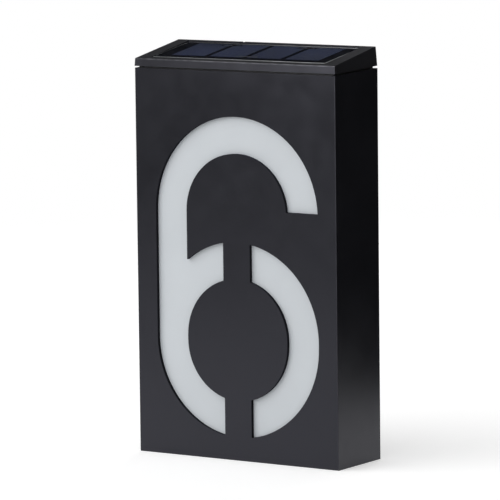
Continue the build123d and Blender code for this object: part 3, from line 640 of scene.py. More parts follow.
@dataclass(frozen=True)
class SiliconFinish(Finish):
    """Solar cells: dark blue, with the grid's fine fingers and a faint change from cell to cell.

    Args:
        finger_pitch: from one finger to the next.
        finger_width: width of a finger.
        finger: a finger's colour.
        wafer_shade: the darkest wafer's share of the colour.
        wafer_waves: changes from wafer to wafer, in waves per metre.
    """

    finger_pitch: float = 1.5 * MM
    finger_width: float = 0.09 * MM
    finger: Colour = (0.16, 0.17, 0.19)
    wafer_shade: float = 0.72
    wafer_waves: float = 38.0
    whole_pitches: ClassVar[float] = 100.0

    def pattern(self, graph: Graph, place: Socket) -> Any:
        """Fingers run across the cells: a stripe wherever Y, in pitches, has a small remainder.

        A whole number of pitches is added first, so that the remainder is taken above zero.

        Args:
            graph: the material's graph.
            place: object coordinates.

        Returns:
            The colour's socket.
        """
        split = graph.add("ShaderNodeSeparateXYZ", {0: place})
        pitches = graph.maths("DIVIDE", split.outputs["Y"], self.finger_pitch)
        part = graph.maths("FRACT", graph.maths("ADD", pitches, self.whole_pitches))
        stripe = graph.maths("LESS_THAN", part, self.finger_width / self.finger_pitch)
        deep = tuple(self.wafer_shade * channel for channel in self.colour)
        shade = graph.span(graph.noise(place, self.wafer_waves, 0.0), 0.35, 0.65, 0.0, 1.0)
        return graph.blend(stripe, graph.blend(shade, deep, self.colour), self.finger)


@dataclass(frozen=True)
class BoardFinish(Finish):
    """Circuit board: solder mask over tracks that show as a slightly lighter relief.

    Args:
        track: a track's colour.
        track_pitch: from one track to the next.
    """

    track: Colour = (0.03, 0.16, 0.07)
    track_pitch: float = 5.0 * MM

    def pattern(self, graph: Graph, place: Socket) -> Any:
        """Tracks: the narrow borders of a blocky cell pattern in X and Z.

        Args:
            graph: the material's graph.
            place: object coordinates.

        Returns:
            The colour's socket.
        """
        inputs = {"Vector": place, "Scale": 1 / self.track_pitch, "Randomness": 0.75}
        cells = graph.add("ShaderNodeTexVoronoi", inputs, distance="CHEBYCHEV")
        edge = graph.span(cells.outputs["Distance"], 0.36, 0.40, 0.0, 1.0)
        return graph.blend(edge, self.colour, self.track)


@dataclass(frozen=True)
class SleeveFinish(Finish):
    """Printed shrink sleeve of the battery cell: one plain band of a second colour.

    Args:
        band: the band's colour.
        band_from: where it starts along X.
        band_to: where it ends.
    """

    band: Colour = (0.50, 0.52, 0.55)
    band_from: float = 13 * MM
    band_to: float = 26.2 * MM

    def pattern(self, graph: Graph, place: Socket) -> Any:
        """The band lies between two places along X.

        Args:
            graph: the material's graph.
            place: object coordinates.

        Returns:
            The colour's socket.
        """
        split = graph.add("ShaderNodeSeparateXYZ", {0: place})
        above = graph.maths("GREATER_THAN", split.outputs["X"], self.band_from)
        below = graph.maths("LESS_THAN", split.outputs["X"], self.band_to)
        share = graph.maths("MULTIPLY", above, below)
        return graph.blend(share, self.colour, self.band)


grained = partial(Finish, relief=Relief.SPARK_GRAIN)
metal = partial(Finish, metallic=1.0, relief=Relief.BRUSHED)
BLUE_GLOSS = (0.84, 0.84, 1.0)
# Its cut walls carry painted shade.
COATED_SHEET = CutSheetFinish(
    "coated_sheet", (0.0075, 0.0077, 0.0096), 0.33, drift=0.10, drift_size=30 * MM, smudge=0.05,
    relief=Relief.ORANGE_PEEL, relief_size=0.9 * MM, relief_depth=0.018 * MM,
    fleck=(0.09, 0.09, 0.095), fleck_share=0.35, rub=(0.07, 0.07, 0.075), rub_share=0.45,
    rub_width=0.45 * MM, dust=0.05, tint=BLUE_GLOSS,
)
# The lid's front edge carries the wedge's painted highlight.
LID_PLASTIC = WedgeFinish(
    "lid_plastic", (0.0125, 0.0125, 0.0142), 0.38, relief=Relief.SPARK_GRAIN,
    relief_size=0.35 * MM, relief_depth=0.010 * MM, rub=(0.08, 0.08, 0.085), rub_share=0.35,
    rub_width=0.35 * MM, dust=0.05, tint=BLUE_GLOSS,
)
BACK_PLASTIC = grained(
    "back_plastic", (0.020, 0.020, 0.021), 0.52, relief_size=0.6 * MM, relief_depth=0.030 * MM,
    smudge=0.08, rub=(0.07, 0.07, 0.07), rub_share=0.5, rub_width=0.4 * MM,
    fleck=(0.05, 0.05, 0.05), fleck_share=0.3,
)
OPAL_SHEET = Finish("opal_sheet", (0.641, 0.676, 0.708), 0.42, drift=0.015, smudge=0.04,
                    ior=1.49, relief_size=1.2 * MM, relief_depth=0.003 * MM)
WHITE_TRAY = grained("white_tray", (0.78, 0.78, 0.76), 0.55, drift=0.03, relief_depth=0.008 * MM)
BLACK_RUBBER = Finish("black_rubber", (0.012, 0.012, 0.012), 0.72, drift=0.15,
                      relief_size=0.3 * MM, relief_depth=0.01 * MM,
                      fleck=(0.06, 0.06, 0.06), fleck_share=0.4)
GREY_FOAM = grained("grey_foam", (0.20, 0.20, 0.21), 0.95, drift=0.15, drift_size=3 * MM,
                    relief_size=0.4 * MM, relief_depth=0.06 * MM)
ZINC_STEEL = Finish("zinc_steel", (0.62, 0.63, 0.64), 0.30, metallic=1.0, drift_size=2 * MM,
                    smudge=0.12, relief_size=0.3 * MM, fleck=(0.30, 0.30, 0.29), fleck_share=0.5)
POST_ALUMINIUM = metal("post_aluminium", (0.72, 0.72, 0.73), 0.34, relief_size=0.25 * MM,
                       relief_depth=0.006 * MM)
WHITE_BOARD = BoardFinish("white_board", (0.78, 0.79, 0.77), 0.38, track=(0.68, 0.69, 0.67),
                          drift=0.02)
GREEN_BOARD = BoardFinish("green_board", (0.012, 0.09, 0.035), 0.34, coat=0.3)
LED_PACKAGE = Finish("led_package", (0.80, 0.72, 0.42), 0.35, drift=0.05, drift_size=2 * MM)
CHIP_BLACK = grained("chip_black", (0.03, 0.03, 0.032), 0.55, relief_size=0.2 * MM,
                     fleck=(0.09, 0.09, 0.09), fleck_share=0.4)
FERRITE = Finish("ferrite", (0.045, 0.042, 0.042), 0.48, drift=0.2, drift_size=2 * MM,
                 relief_depth=0.02 * MM)
CAPACITOR_CAN = Finish("capacitor_can", (0.05, 0.07, 0.16), 0.32, drift=0.05, coat=0.4)
CONNECTOR_WHITE = grained("connector_white", (0.74, 0.72, 0.66), 0.45, drift=0.03,
                          relief_size=0.25 * MM)
SWITCH_METAL = metal("switch_metal", (0.66, 0.66, 0.65), 0.28, relief_size=0.2 * MM)
KNOB_PLASTIC = grained("knob_plastic", (0.24, 0.24, 0.245), 0.42, drift=0.04,
                       relief_size=0.2 * MM)
NICKEL_PLATE = metal("nickel_plate", (0.70, 0.68, 0.63), 0.22, smudge=0.1,
                     relief_size=0.2 * MM, relief_depth=0.003 * MM)
CELL_SLEEVE = SleeveFinish("cell_sleeve", (0.035, 0.10, 0.075), 0.24, drift=0.03, coat=0.5)
WIRE_RED = Finish("wire_red", (0.42, 0.018, 0.014), 0.34, drift=0.05, coat=0.2)
WIRE_BLACK = Finish("wire_black", (0.018, 0.018, 0.018), 0.34, drift=0.05, coat=0.2)
BOND_PAD = grained("bond_pad", (0.12, 0.12, 0.12), 0.9, relief_size=0.3 * MM,
                   relief_depth=0.03 * MM)
PANEL_BLACK = Finish("panel_black", (0.007, 0.0075, 0.011), 0.60, relief_size=0.4 * MM, ior=1.15)
SILICON = SiliconFinish("silicon", (0.0145, 0.023, 0.068), 0.38, drift=0.05, drift_size=9 * MM,
                        relief_size=0.2 * MM, relief_depth=0.002 * MM)
TINNED_STRIP = metal("tinned_strip", (0.10, 0.10, 0.11), 0.30, relief_size=0.3 * MM)
CLEAR_COVER = Finish("clear_cover", (0.93, 0.95, 0.96), 0.05, drift=0.01, smudge=0.03,
                     relief_size=2.0 * MM, relief_depth=0.001 * MM, ior=1.49, transmission=1.0)
# Painted glint: the clear bead is drawn an opaque light grey, for the bright line it catches along
# the panel's edge.
BEAD_GLINT_GREY = Finish("clear_cover", (0.34, 0.35, 0.36), 0.55, drift=0.25, drift_size=6 * MM,
                    relief_size=0.8 * MM, relief_depth=0.01 * MM, ior=1.42)


def shaded(name: str) -> tuple[bpy.types.Material, Graph, Node]:
    """Makes a material that nodes describe.

    Args:
        name: the material's name.

    Returns:
        The material, its graph and its Principled node.
    """
    made = bpy.data.materials.new(name)
    made.use_nodes = True
    return made, Graph(made.node_tree), made.node_tree.nodes["Principled BSDF"]


# ---------------------------------------------------------------- surfaces
def linked(name: str, data: bpy.types.ID) -> bpy.types.Object:
    """Makes an object in the scene.

    Args:
        name: the object's name.
        data: its mesh, lamp or camera.

    Returns:
        The object.
    """
    made = bpy.data.objects.new(name, data)
    bpy.context.scene.collection.objects.link(made)
    return made


@dataclass
class Surface:
    """A mesh gathered from grids of points, each a function of two parameters.

    Args:
        points: arrays of points, one row each.
        quads: arrays of four point numbers, one row each.
        count: how many points have been gathered.
    """

    points: list[np.ndarray] = field(default_factory=list)
    quads: list[np.ndarray] = field(default_factory=list)
    count: int = 0

    def add(self, grid: np.ndarray, wrap_rows: bool = False, wrap_columns: bool = False
            ) -> "Surface":
        """Adds a grid of points with a quad between each four neighbours.

        Args:
            grid: points of shape rows, columns, 3.
            wrap_rows: whether the last row joins the first.
            wrap_columns: whether the last column joins the first.

        Returns:
            The surface itself.
        """
        rows, columns = grid.shape[:2]
        number = np.arange(rows * columns).reshape(rows, columns) + self.count
        if wrap_rows:
            number = np.vstack((number, number[:1]))
        if wrap_columns:
            number = np.hstack((number, number[:, :1]))
        corners = (number[:-1, :-1], number[1:, :-1], number[1:, 1:], number[:-1, 1:])
        self.quads.append(np.stack(corners, axis=-1).reshape(-1, 4))
        self.points.append(grid.reshape(-1, 3))
        self.count += rows * columns
        return self

    def piece(self, name: str, finish: Finish, body: Body, stands_for: Sequence[str] = ()
              ) -> bpy.types.Object:
        """Makes the gathered grids one piece that rides on a body.

        Args:
            name: the piece's name.
            finish: its finish.
            body: what it rides on.
            stands_for: the solids that it is shown in place of.

        Returns:
            The piece.
        """
        points = np.concatenate(self.points).astype(np.float32)
        quads = np.concatenate(self.quads).astype(np.int32)
        mesh = bpy.data.meshes.new(name)
        mesh.vertices.add(len(points))
        mesh.vertices.foreach_set("co", points.ravel())
        mesh.loops.add(quads.size)
        mesh.loops.foreach_set("vertex_index", quads.ravel())
        mesh.polygons.add(len(quads))
        mesh.polygons.foreach_set("loop_start", np.arange(len(quads), dtype=np.int32) * 4)
        mesh.update(calc_edges=True)
        close_seams(mesh)
        mesh.materials.append(finish.material())
        made = linked(name, mesh)
        if stands_for:
            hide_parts(*stands_for)
        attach(made, body.value)
        log.info("%s: %d faces on %s", name, len(mesh.polygons), body.value)
        return made


def close_seams(mesh: bpy.types.Mesh) -> None:
    """Merges doubled points at seams and poles, turns faces outwards and shades by angle.

    Args:
        mesh: the mesh to finish.
    """
    work = bmesh.new()
    work.from_mesh(mesh)
    bmesh.ops.remove_doubles(work, verts=work.verts, dist=MERGE_DISTANCE)
    bmesh.ops.dissolve_degenerate(work, edges=work.edges, dist=MERGE_DISTANCE)
    bmesh.ops.recalc_face_normals(work, faces=work.faces)
    work.to_mesh(mesh)
    work.free()
    mesh.shade_smooth()
    mesh.set_sharp_from_angle(angle=SHARP_ANGLE)


def circle(count: int) -> np.ndarray:
    """Angles evenly spaced round a whole turn, the last one a step short of the first."""
    return np.linspace(0, 2 * math.pi, count, endpoint=False)


def polar(radius: np.ndarray, angle: np.ndarray, height: Any) -> np.ndarray:
    """Points at a radius and an angle about Z, at a height, for each pair of the two."""
    level = height + 0 * radius * angle
    return np.stack((radius * np.cos(angle), radius * np.sin(angle), level), -1)


def turned(profile: np.ndarray, columns: int) -> np.ndarray:
    """A surface of revolution about Z, from a profile's radii and heights."""
    return polar(profile[:, :1], circle(columns), profile[:, 1:])


def placed(grid: np.ndarray, origin: Sequence[float], up: Sequence[float], turn: float = 0.0
           ) -> np.ndarray:
    """Carries points drawn about Z, after a turn about it, to where Z points another way."""
    spin = Vector(up).to_track_quat("Z", "Y").to_matrix() @ Matrix.Rotation(turn, 3, "Z")
    return grid @ np.array(spin).T + np.array(origin)


def rounded_step(value: np.ndarray) -> np.ndarray:
    """A smooth step: 0 below 0, 1 above 1, and three squares less two cubes between."""
    held = np.clip(value, 0, 1)
    return held * held * (3 - 2 * held)


@dataclass(frozen=True)
class PanScrew:
    """A pan-head screw with a cross recess and a rolled thread.

    Args:
        head_radius: radius of the head.
        head_height: height of the head.
        shank_radius: radius over the thread.
        length: shank below the head.
        pitch: rise of the thread in a turn.
        thread_depth: depth of the thread.
        recess_reach: half length of the recess's arms.
        recess_width: width of an arm at the top.
        recess_depth: depth of the recess.
    """

    head_radius: float
    head_height: float
    shank_radius: float
    length: float
    pitch: float = 1.0 * MM
    thread_depth: float = 0.24 * MM
    recess_reach: float = 1.55 * MM
    recess_width: float = 0.80 * MM
    recess_depth: float = 0.95 * MM
    head_rows: ClassVar[int] = 34
    rows_in_a_turn: ClassVar[int] = 8
    columns: ClassVar[int] = 80
    row_crowding: ClassVar[float] = 0.85
    rim_share: ClassVar[float] = 0.22
    dome_power: ClassVar[float] = 2.6
    arm_wall: ClassVar[float] = 0.16 * MM
    arm_slope: ClassVar[float] = 0.75 * MM
    flank_slope: ClassVar[float] = 1.5
    flank_offset: ClassVar[float] = 0.25
    tip_share: ClassVar[float] = 0.45
    tip_pitches: ClassVar[float] = 1.4

    def head(self, angle: np.ndarray) -> np.ndarray:
        """The head's top and rim.

        Over the top the height is that of a flat ellipse in the radius, to a power above 2 so
        that the rim is round. The recess takes off a depth that is greatest where either arm of
        a cross is widest: a smooth step in the distance across an arm times one along it.

        Args:
            angle: angles of the columns.

        Returns:
            Points of shape rows, columns, 3.
        """
        rows = np.linspace(0, math.pi / 2, self.head_rows)[:, None]
        share = np.sin(rows) ** self.row_crowding
        radius = self.head_radius * share
        x, y = radius * np.cos(angle), radius * np.sin(angle)
        rim = self.rim_share * self.head_height
        dome = (1 - share**self.dome_power) ** (1 / self.dome_power)
        height = rim + (self.head_height - rim) * dome + 0 * angle

        def arm(along: np.ndarray, across: np.ndarray) -> np.ndarray:
            """Depth share of one arm of the cross."""
            wide = rounded_step((self.recess_width / 2 - np.abs(across)) / self.arm_wall + 0.5)
            return wide * rounded_step((self.recess_reach - np.abs(along)) / self.arm_slope)

        cut = np.maximum(arm(x, y), arm(y, x))
        return np.stack((x, y, height - self.recess_depth * cut), -1)

    def shank(self, angle: np.ndarray) -> np.ndarray:
        """The underside, thread and tip.

        The radius is the core's plus a triangle wave of height over the pitch less the angle's
        share of a turn, so that it climbs one pitch in a turn. It tapers towards the tip.

        Args:
            angle: angles of the columns.

        Returns:
            Points of shape rows, columns, 3.
        """
        rows = int(self.length / self.pitch * self.rows_in_a_turn)
        height = -np.linspace(0, self.length, rows)[:, None]
        phase = (height / self.pitch - angle / (2 * math.pi)) % 1.0
        triangle = 1 - np.abs(2 * phase - 1)
        wave = np.clip(self.flank_slope * triangle - self.flank_offset, 0, 1)
        from_tip = (height + self.length) / (self.tip_pitches * self.pitch)
        taper = self.tip_share + (1 - self.tip_share) * rounded_step(from_tip)
        radius = (self.shank_radius - self.thread_depth * (1 - wave)) * taper
        return polar(radius, angle, height)

    def add_to(self, surface: Surface, origin: Sequence[float], up: Sequence[float],
               turn: float) -> None:
        """Adds the screw to a surface as one closed grid, from the head's middle to the tip.

        Args:
            surface: the surface to add to.
            origin: the middle of the head's underside.
            up: the direction that the head looks in.
            turn: turn about its own axis.
        """
        angle = circle(self.columns)
        head, shank = self.head(angle), self.shank(angle)
        seat = head[-1:] * (1, 1, 0)
        tip = shank[-1:] * (0, 0, 1)
        grid = np.concatenate((head, seat, shank, tip))
        surface.add(placed(grid, origin, up, turn), wrap_columns=True)

    def at_ends(self, box: Box, heights: Sequence[float], turns: Sequence[float]) -> Surface:
        """Screws at both ends of a box along X, with their heads under its +Y face.

        Args:
            box: the corners of the box.
            heights: the heights that have a screw at either end.
            turns: how far each screw is turned, in degrees.

        Returns:
            The surface with the screws.
        """
        low, high = box
        surface = Surface()
        ends = (low.x + self.head_radius, high.x - self.head_radius)
        for (x, z), turn in zip(product(ends, heights), turns):
            place = (x, high.y - self.head_height, z)
            self.add_to(surface, place, (0, 1, 0), math.radians(turn))
        return surface


# ---------------------------------------------------------------- sub-assemblies
@dataclass
class SubAssembly:
    """A group of the light's pieces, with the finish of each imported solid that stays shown."""

    finishes: ClassVar[dict[str, Finish]] = {}

    def dress(self) -> None:
        """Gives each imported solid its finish, with wear that follows its own box."""
        for name, finish in self.finishes.items():
            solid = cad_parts[name]
            made = finish.material(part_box(name))
            for slot in solid.material_slots:
                slot.material = made
            log.info("%s: finished as %s", name, finish.slot)

    def build(self) -> None:
        """Builds the group's own pieces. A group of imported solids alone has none."""


@dataclass
class Housing(SubAssembly):
    """The folded box with the numeral cut through it, and its threaded posts."""

    finishes: ClassVar[dict[str, Finish]] = {
        "housing_shell": COATED_SHEET,
        "cover_posts": POST_ALUMINIUM,
        "tray_posts": POST_ALUMINIUM,
    }


@dataclass
class LightBox(SubAssembly):
    """The opal sheet, its gasket, and the tray with the LED board behind it.

    Args:
        lamp_rows: how many LEDs stand above one another.
        lamp_side: width and height of an LED.
        lens_radius: radius of its lens.
        lens_height: how far the lens bulges.
        well_depth: how far the lens lies below the LED's face.
    """

    finishes: ClassVar[dict[str, Finish]] = {
        "diffuser_panel": OPAL_SHEET,
        "diffuser_gasket": GREY_FOAM,
        "reflector_tray": WHITE_TRAY,
        "tray_screws": ZINC_STEEL,
        "led_board": WHITE_BOARD,
        "led_lamps": CONNECTOR_WHITE,
        "led_board_screws": ZINC_STEEL,
        "led_lead_plus": WIRE_RED,
        "led_lead_minus": WIRE_BLACK,
    }
    lamp_rows: int = 4
    lamp_side: float = 5.0 * MM
    lens_radius: float = 1.97 * MM
    lens_height: float = 0.55 * MM
    well_depth: float = 0.7 * MM
    lens_rows: ClassVar[int] = 12
    lens_columns: ClassVar[int] = 32

    def build(self) -> None:
        """Phosphor lenses in the wells of the LEDs.

        A lens is a cap whose height falls with the square of the radius, on a flat back.
        """
        low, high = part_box("led_lamps")
        share = np.linspace(0, 1, self.lens_rows)
        cap = np.stack((self.lens_radius * share, self.lens_height * (1 - share**2)), -1)
        back = np.array([[0.0, 0.0]])
        grid = turned(np.concatenate((cap, back)), self.lens_columns)
        inset = self.lamp_side / 2
        heights = np.linspace(low.z + inset, high.z - inset, self.lamp_rows)
        surface = Surface()
        for x, z in product((low.x + inset, high.x - inset), heights):
            surface.add(placed(grid, (x, low.y + self.well_depth, z), (0, -1, 0)),
                        wrap_columns=True)
        surface.piece("led_lenses", LED_PACKAGE, Body.SIGN)


@dataclass
class Controls(SubAssembly):
    """The control board with its parts, plugs and slide switch."""

    finishes: ClassVar[dict[str, Finish]] = {
        "control_board": GREEN_BOARD,
        "control_board_screws": ZINC_STEEL,
        "driver_chip": CHIP_BLACK,
        "choke_coil": FERRITE,
        "filter_capacitor": CAPACITOR_CAN,
        "wire_headers": CONNECTOR_WHITE,
        "wire_plugs": CONNECTOR_WHITE,
        "switch_body": SWITCH_METAL,
        "switch_knob": KNOB_PLASTIC,
    }


@dataclass
class RearCover(SubAssembly):
    """The moulded back with its seal, screws and the marks beside the switch.

    Args:
        screw: the four screws that hold the cover.
        turns: how far each screw happens to be turned, in degrees.
        mark_reach: from the middle of the switch to each mark.
        mark_floor: the recess's floor that the marks stand on.
        switch_height: height of the switch's middle.
        mark_rise: how far a mark stands proud.
        ring_radius: radius of the ring's middle line.
        bar_height: height of the bar.
        bar_squareness: the power that squares the bar's section; 1 would leave it round.
    """

    finishes: ClassVar[dict[str, Finish]] = {
        "rear_cover": BACK_PLASTIC,
        "rear_seal": BLACK_RUBBER,
    }
    screw: PanScrew = PanScrew(2.75 * MM, 1.6 * MM, 1.5 * MM, 8.5 * MM)
    turns: tuple[float, ...] = (12.0, 57.0, 31.0, 76.0)
    mark_reach: float = 5.05 * MM
    mark_floor: float = 18.8 * MM
    switch_height: float = 101.0 * MM
    mark_rise: float = 0.22 * MM
    ring_radius: float = 0.85 * MM
    bar_height: float = 1.9 * MM
    bar_squareness: float = 0.4
    ring_columns: ClassVar[int] = 48
    tube_columns: ClassVar[int] = 16
    bar_rows: ClassVar[int] = 17
    bar_columns: ClassVar[int] = 32

    def build(self) -> None:
        """Builds the cover's screws and the marks."""
        low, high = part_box("rear_cover_screws")
        inset = self.screw.head_radius
        heights = (low.z + inset, high.z - inset)
        surface = self.screw.at_ends((low, high), heights, self.turns)
        surface.piece("cover_pan_screws", ZINC_STEEL, Body.SIGN, ["rear_cover_screws"])
        self.switch_marks()

    def switch_marks(self) -> None:
        """The raised ring for off and bar for on.

        The ring is a torus half sunk in the floor: its radius plus the tube's cosine, turned
        round. The bar is an ellipsoid to a power below 1, so it has flat sides.
        """
        round_tube = circle(self.tube_columns)
        radius = self.ring_radius + self.mark_rise * np.cos(round_tube)
        round_ring = circle(self.ring_columns)[:, None]
        ring = polar(radius, round_ring, self.mark_rise * np.sin(round_tube))
        rise = np.linspace(-math.pi / 2, math.pi / 2, self.bar_rows)[:, None]
        side = circle(self.bar_columns)

        def flattened(value: np.ndarray) -> np.ndarray:
            """A signed power that squares a curve's corners."""
            return np.sign(value) * np.abs(value) ** self.bar_squareness

        bar = np.stack((
            self.mark_rise * flattened(np.cos(rise)) * flattened(np.cos(side)),
            self.bar_height / 2 * flattened(np.cos(rise)) * flattened(np.sin(side)),
            self.mark_rise * flattened(np.sin(rise)) + 0 * side,
        ), -1)
        left = (-self.mark_reach, self.mark_floor, self.switch_height)
        right = (self.mark_reach, self.mark_floor, self.switch_height)
        surface = Surface().add(placed(ring, left, (0, 1, 0)), wrap_rows=True, wrap_columns=True)
        surface.add(placed(bar, right, (0, 1, 0)), wrap_columns=True)
        surface.piece("switch_marks", BACK_PLASTIC, Body.SIGN)


@dataclass
class BatteryBay(SubAssembly):
    """The cell, its contacts and spring, and the door over them.

    Args:
        door_screw: the two captive screws of the door.
        turns: how far each screw happens to be turned, in degrees.
        sleeve_lap: how far the sleeve laps over the can's flat end.
        button_radius: radius of the cell's button.
        button_length: how far the button stands out.
        spring_wire: radius of the spring's wire.
        spring_turns: turns of the spring, with its closed ends.
        spring_narrow: radius of the spring's last turn, at the cell.
        spring_closed: the share of the turns that lies flat at either end.
        skin: thickness of the cell's sleeve.
        corner: radius of the can's rolled corners.
        button_edge: radius of the button's rounded edge.
        button_sunk: how far the button's root lies below the can's shoulder.
        crown_lap: how far the sleeve laps over the can's shoulder.
        foot_lift: how far the sleeve's outside lies above the can's flat end.
        foot_skin: how far its inside does.
    """

    finishes: ClassVar[dict[str, Finish]] = {
        "battery_contact_plus": NICKEL_PLATE,
        "battery_contact_minus": NICKEL_PLATE,
        "battery_lead_plus": WIRE_RED,
        "battery_lead_minus": WIRE_BLACK,
        "battery_door": BACK_PLASTIC,
        "battery_door_seal": BLACK_RUBBER,
    }
    door_screw: PanScrew = PanScrew(2.75 * MM, 1.6 * MM, 1.5 * MM, 8.0 * MM)
    turns: tuple[float, ...] = (22.0, 64.0)
    sleeve_lap: float = 1.5 * MM
    button_radius: float = 2.7 * MM
    button_length: float = 1.3 * MM
    spring_wire: float = 0.45 * MM
    spring_turns: float = 5.0
    spring_narrow: float = 3.2 * MM
    spring_closed: float = 0.12
    skin: float = 0.12 * MM
    corner: float = 0.9 * MM
    button_edge: float = 0.35 * MM
    button_sunk: float = 0.15 * MM
    crown_lap: float = 0.7 * MM
    foot_lift: float = 0.02 * MM
    foot_skin: float = 0.1 * MM
    bend_points: ClassVar[int] = 9
    can_columns: ClassVar[int] = 72
    spring_points: ClassVar[int] = 320
    wire_columns: ClassVar[int] = 12

    def build(self) -> None:
        """Builds the door's screws, the cell and the spring."""
        low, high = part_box("battery_door_screws")
        middle = (low.z + high.z) / 2
        surface = self.door_screw.at_ends((low, high), (middle,), self.turns)
        surface.piece("door_pan_screws", ZINC_STEEL, Body.DOOR, ["battery_door_screws"])
        self.cell()
        self.spring()

    def cell(self) -> None:
        """The cell as a can turned about its length, and the sleeve shrunk over it.

        The can's profile runs from the middle of the flat end, round a rolled corner, along
        the side, in over the crimp and out to the button. The sleeve follows it a hair outside
        and laps over both ends.
        """
        low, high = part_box("battery_cell")
        radius = (high.z - low.z) / 2
        middle = (low.y + radius, low.z + radius)
        end = high.x - low.x
        shoulder = end - self.button_length
        can = radius - self.skin
        flat = can - self.corner
        bend = np.linspace(0, math.pi / 2, self.bend_points)

        def crest(side: float, top: float, edge: float) -> np.ndarray:
            """The rounded top edge of a turned profile, from its side up and inwards."""
            return np.stack((side - edge * (1 - np.cos(bend)), top - edge * (1 - np.sin(bend))), -1)

        foot = np.stack((flat + self.corner * np.sin(bend), self.corner * (1 - np.cos(bend))), -1)
        crown = crest(can, shoulder, self.corner)
        groove = np.array([[5.0, -0.05], [4.7, -0.35], [4.1, -0.40], [3.6, -0.15]]) * MM
        groove[:, 1] += shoulder
        button = crest(self.button_radius, end, self.button_edge)
        root = np.array([[self.button_radius, shoulder - self.button_sunk]])
        dimple = np.array([[0.0, 0.25], [2.0, 0.25], [2.5, 0.02], [3.4, 0.0]]) * MM
        centre = np.array([[0.0, end]])
        profile = np.concatenate((dimple, foot, crown, groove, root, button, centre))
        lap_foot = np.array([[flat - self.sleeve_lap, 0.0], [flat, 0.0]])
        lap_crown = np.array([[flat, shoulder], [flat - self.crown_lap, shoulder]])
        outer = np.concatenate((lap_foot + (0, self.foot_lift), foot + (self.skin, 0),
                                crown + (self.skin, 0), lap_crown + (0, self.skin)))
        inner = np.concatenate((lap_crown[::-1], crown[::-1], foot[::-1],
                                lap_foot[::-1] + (0, self.foot_skin)))
        origin = (low.x, *middle)
        metal_can = placed(turned(profile, self.can_columns), origin, (1, 0, 0))
        surface = Surface().add(metal_can, wrap_columns=True)
        surface.piece("cell_can", NICKEL_PLATE, Body.SIGN)
        loop = turned(np.concatenate((outer, inner)), self.can_columns)
        sleeve = placed(loop, origin, (1, 0, 0))
        surface = Surface().add(sleeve, wrap_rows=True, wrap_columns=True)
        surface.piece("cell_sleeve", CELL_SLEEVE, Body.SIGN, ["battery_cell"])

    def spring(self) -> None:
        """A cone spring with closed ends.

        A round wire is carried along a helix. Its rise is a smooth step of the turn's share, so
        the first and last turns lie flat, and its radius narrows from the contact to the cell.
        """
        low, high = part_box("battery_spring")
        wide = (high.z - low.z) / 2 - self.spring_wire
        middle = (low.y + high.y) / 2, (low.z + high.z) / 2
        share = np.linspace(0, 1, self.spring_points)
        angle = 2 * math.pi * self.spring_turns * share
        reach = high.x - low.x - 2 * self.spring_wire
        sprung = (share - self.spring_closed) / (1 - 2 * self.spring_closed)
        rise = self.spring_wire + reach * rounded_step(sprung)
        line = polar(wide + (self.spring_narrow - wide) * share, angle, rise)
        coil = placed(tube(line, self.spring_wire, self.wire_columns), (low.x, *middle), (1, 0, 0))
        surface = Surface().add(coil, wrap_columns=True)
        surface.piece("cone_spring", NICKEL_PLATE, Body.SIGN, ["battery_spring"])


def tube(line: np.ndarray, radius: float, columns: int) -> np.ndarray:
    """A round tube along a line, closed at its ends.

    At each point the ring lies across the line's own direction, in the frame of that direction
    and Z.

    Args:
        line: the points that the middle follows.
        radius: radius of the tube.
        columns: points round it.

    Returns:
        Points of shape line points plus 2, columns, 3.
    """
    along = np.gradient(line, axis=0)
    along /= np.linalg.norm(along, axis=1, keepdims=True)
    side = np.cross(along, (0, 0, 1))
    side /= np.linalg.norm(side, axis=1, keepdims=True)
    over = np.cross(side, along)
    angle = circle(columns)[None, :, None]
    ring = radius * (np.cos(angle) * side[:, None] + np.sin(angle) * over[:, None])
    first, last = (np.repeat(end[:, None], columns, axis=1) for end in (line[:1], line[-1:]))
    return np.concatenate((first, line[:, None] + ring, last))


def slab(node: str) -> tuple[np.ndarray, np.ndarray, np.ndarray]:
    """The frame of a sloping slab, from its largest face that looks up.

    Args:
        node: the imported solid's name.

    Returns:
        The frame's axes as rows, along X, up the slope and out of the face, and the slab's
        lowest and highest places along them.
    """
    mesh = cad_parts[node].data
    normals = np.zeros(len(mesh.polygons) * 3)
    areas = np.zeros(len(mesh.polygons))
    points = np.zeros(len(mesh.vertices) * 3)
    mesh.polygons.foreach_get("normal", normals)
    mesh.polygons.foreach_get("area", areas)
    mesh.vertices.foreach_get("co", points)
    normals = normals.reshape(-1, 3)
    out = normals[np.argmax(areas * (normals[:, 2] > UPWARD))]
    across = np.array((1.0, 0.0, 0.0))
    axes = np.array((across, np.cross(out, across), out))
    local = points.reshape(-1, 3) @ axes.T
    return axes, local.min(0), local.max(0)


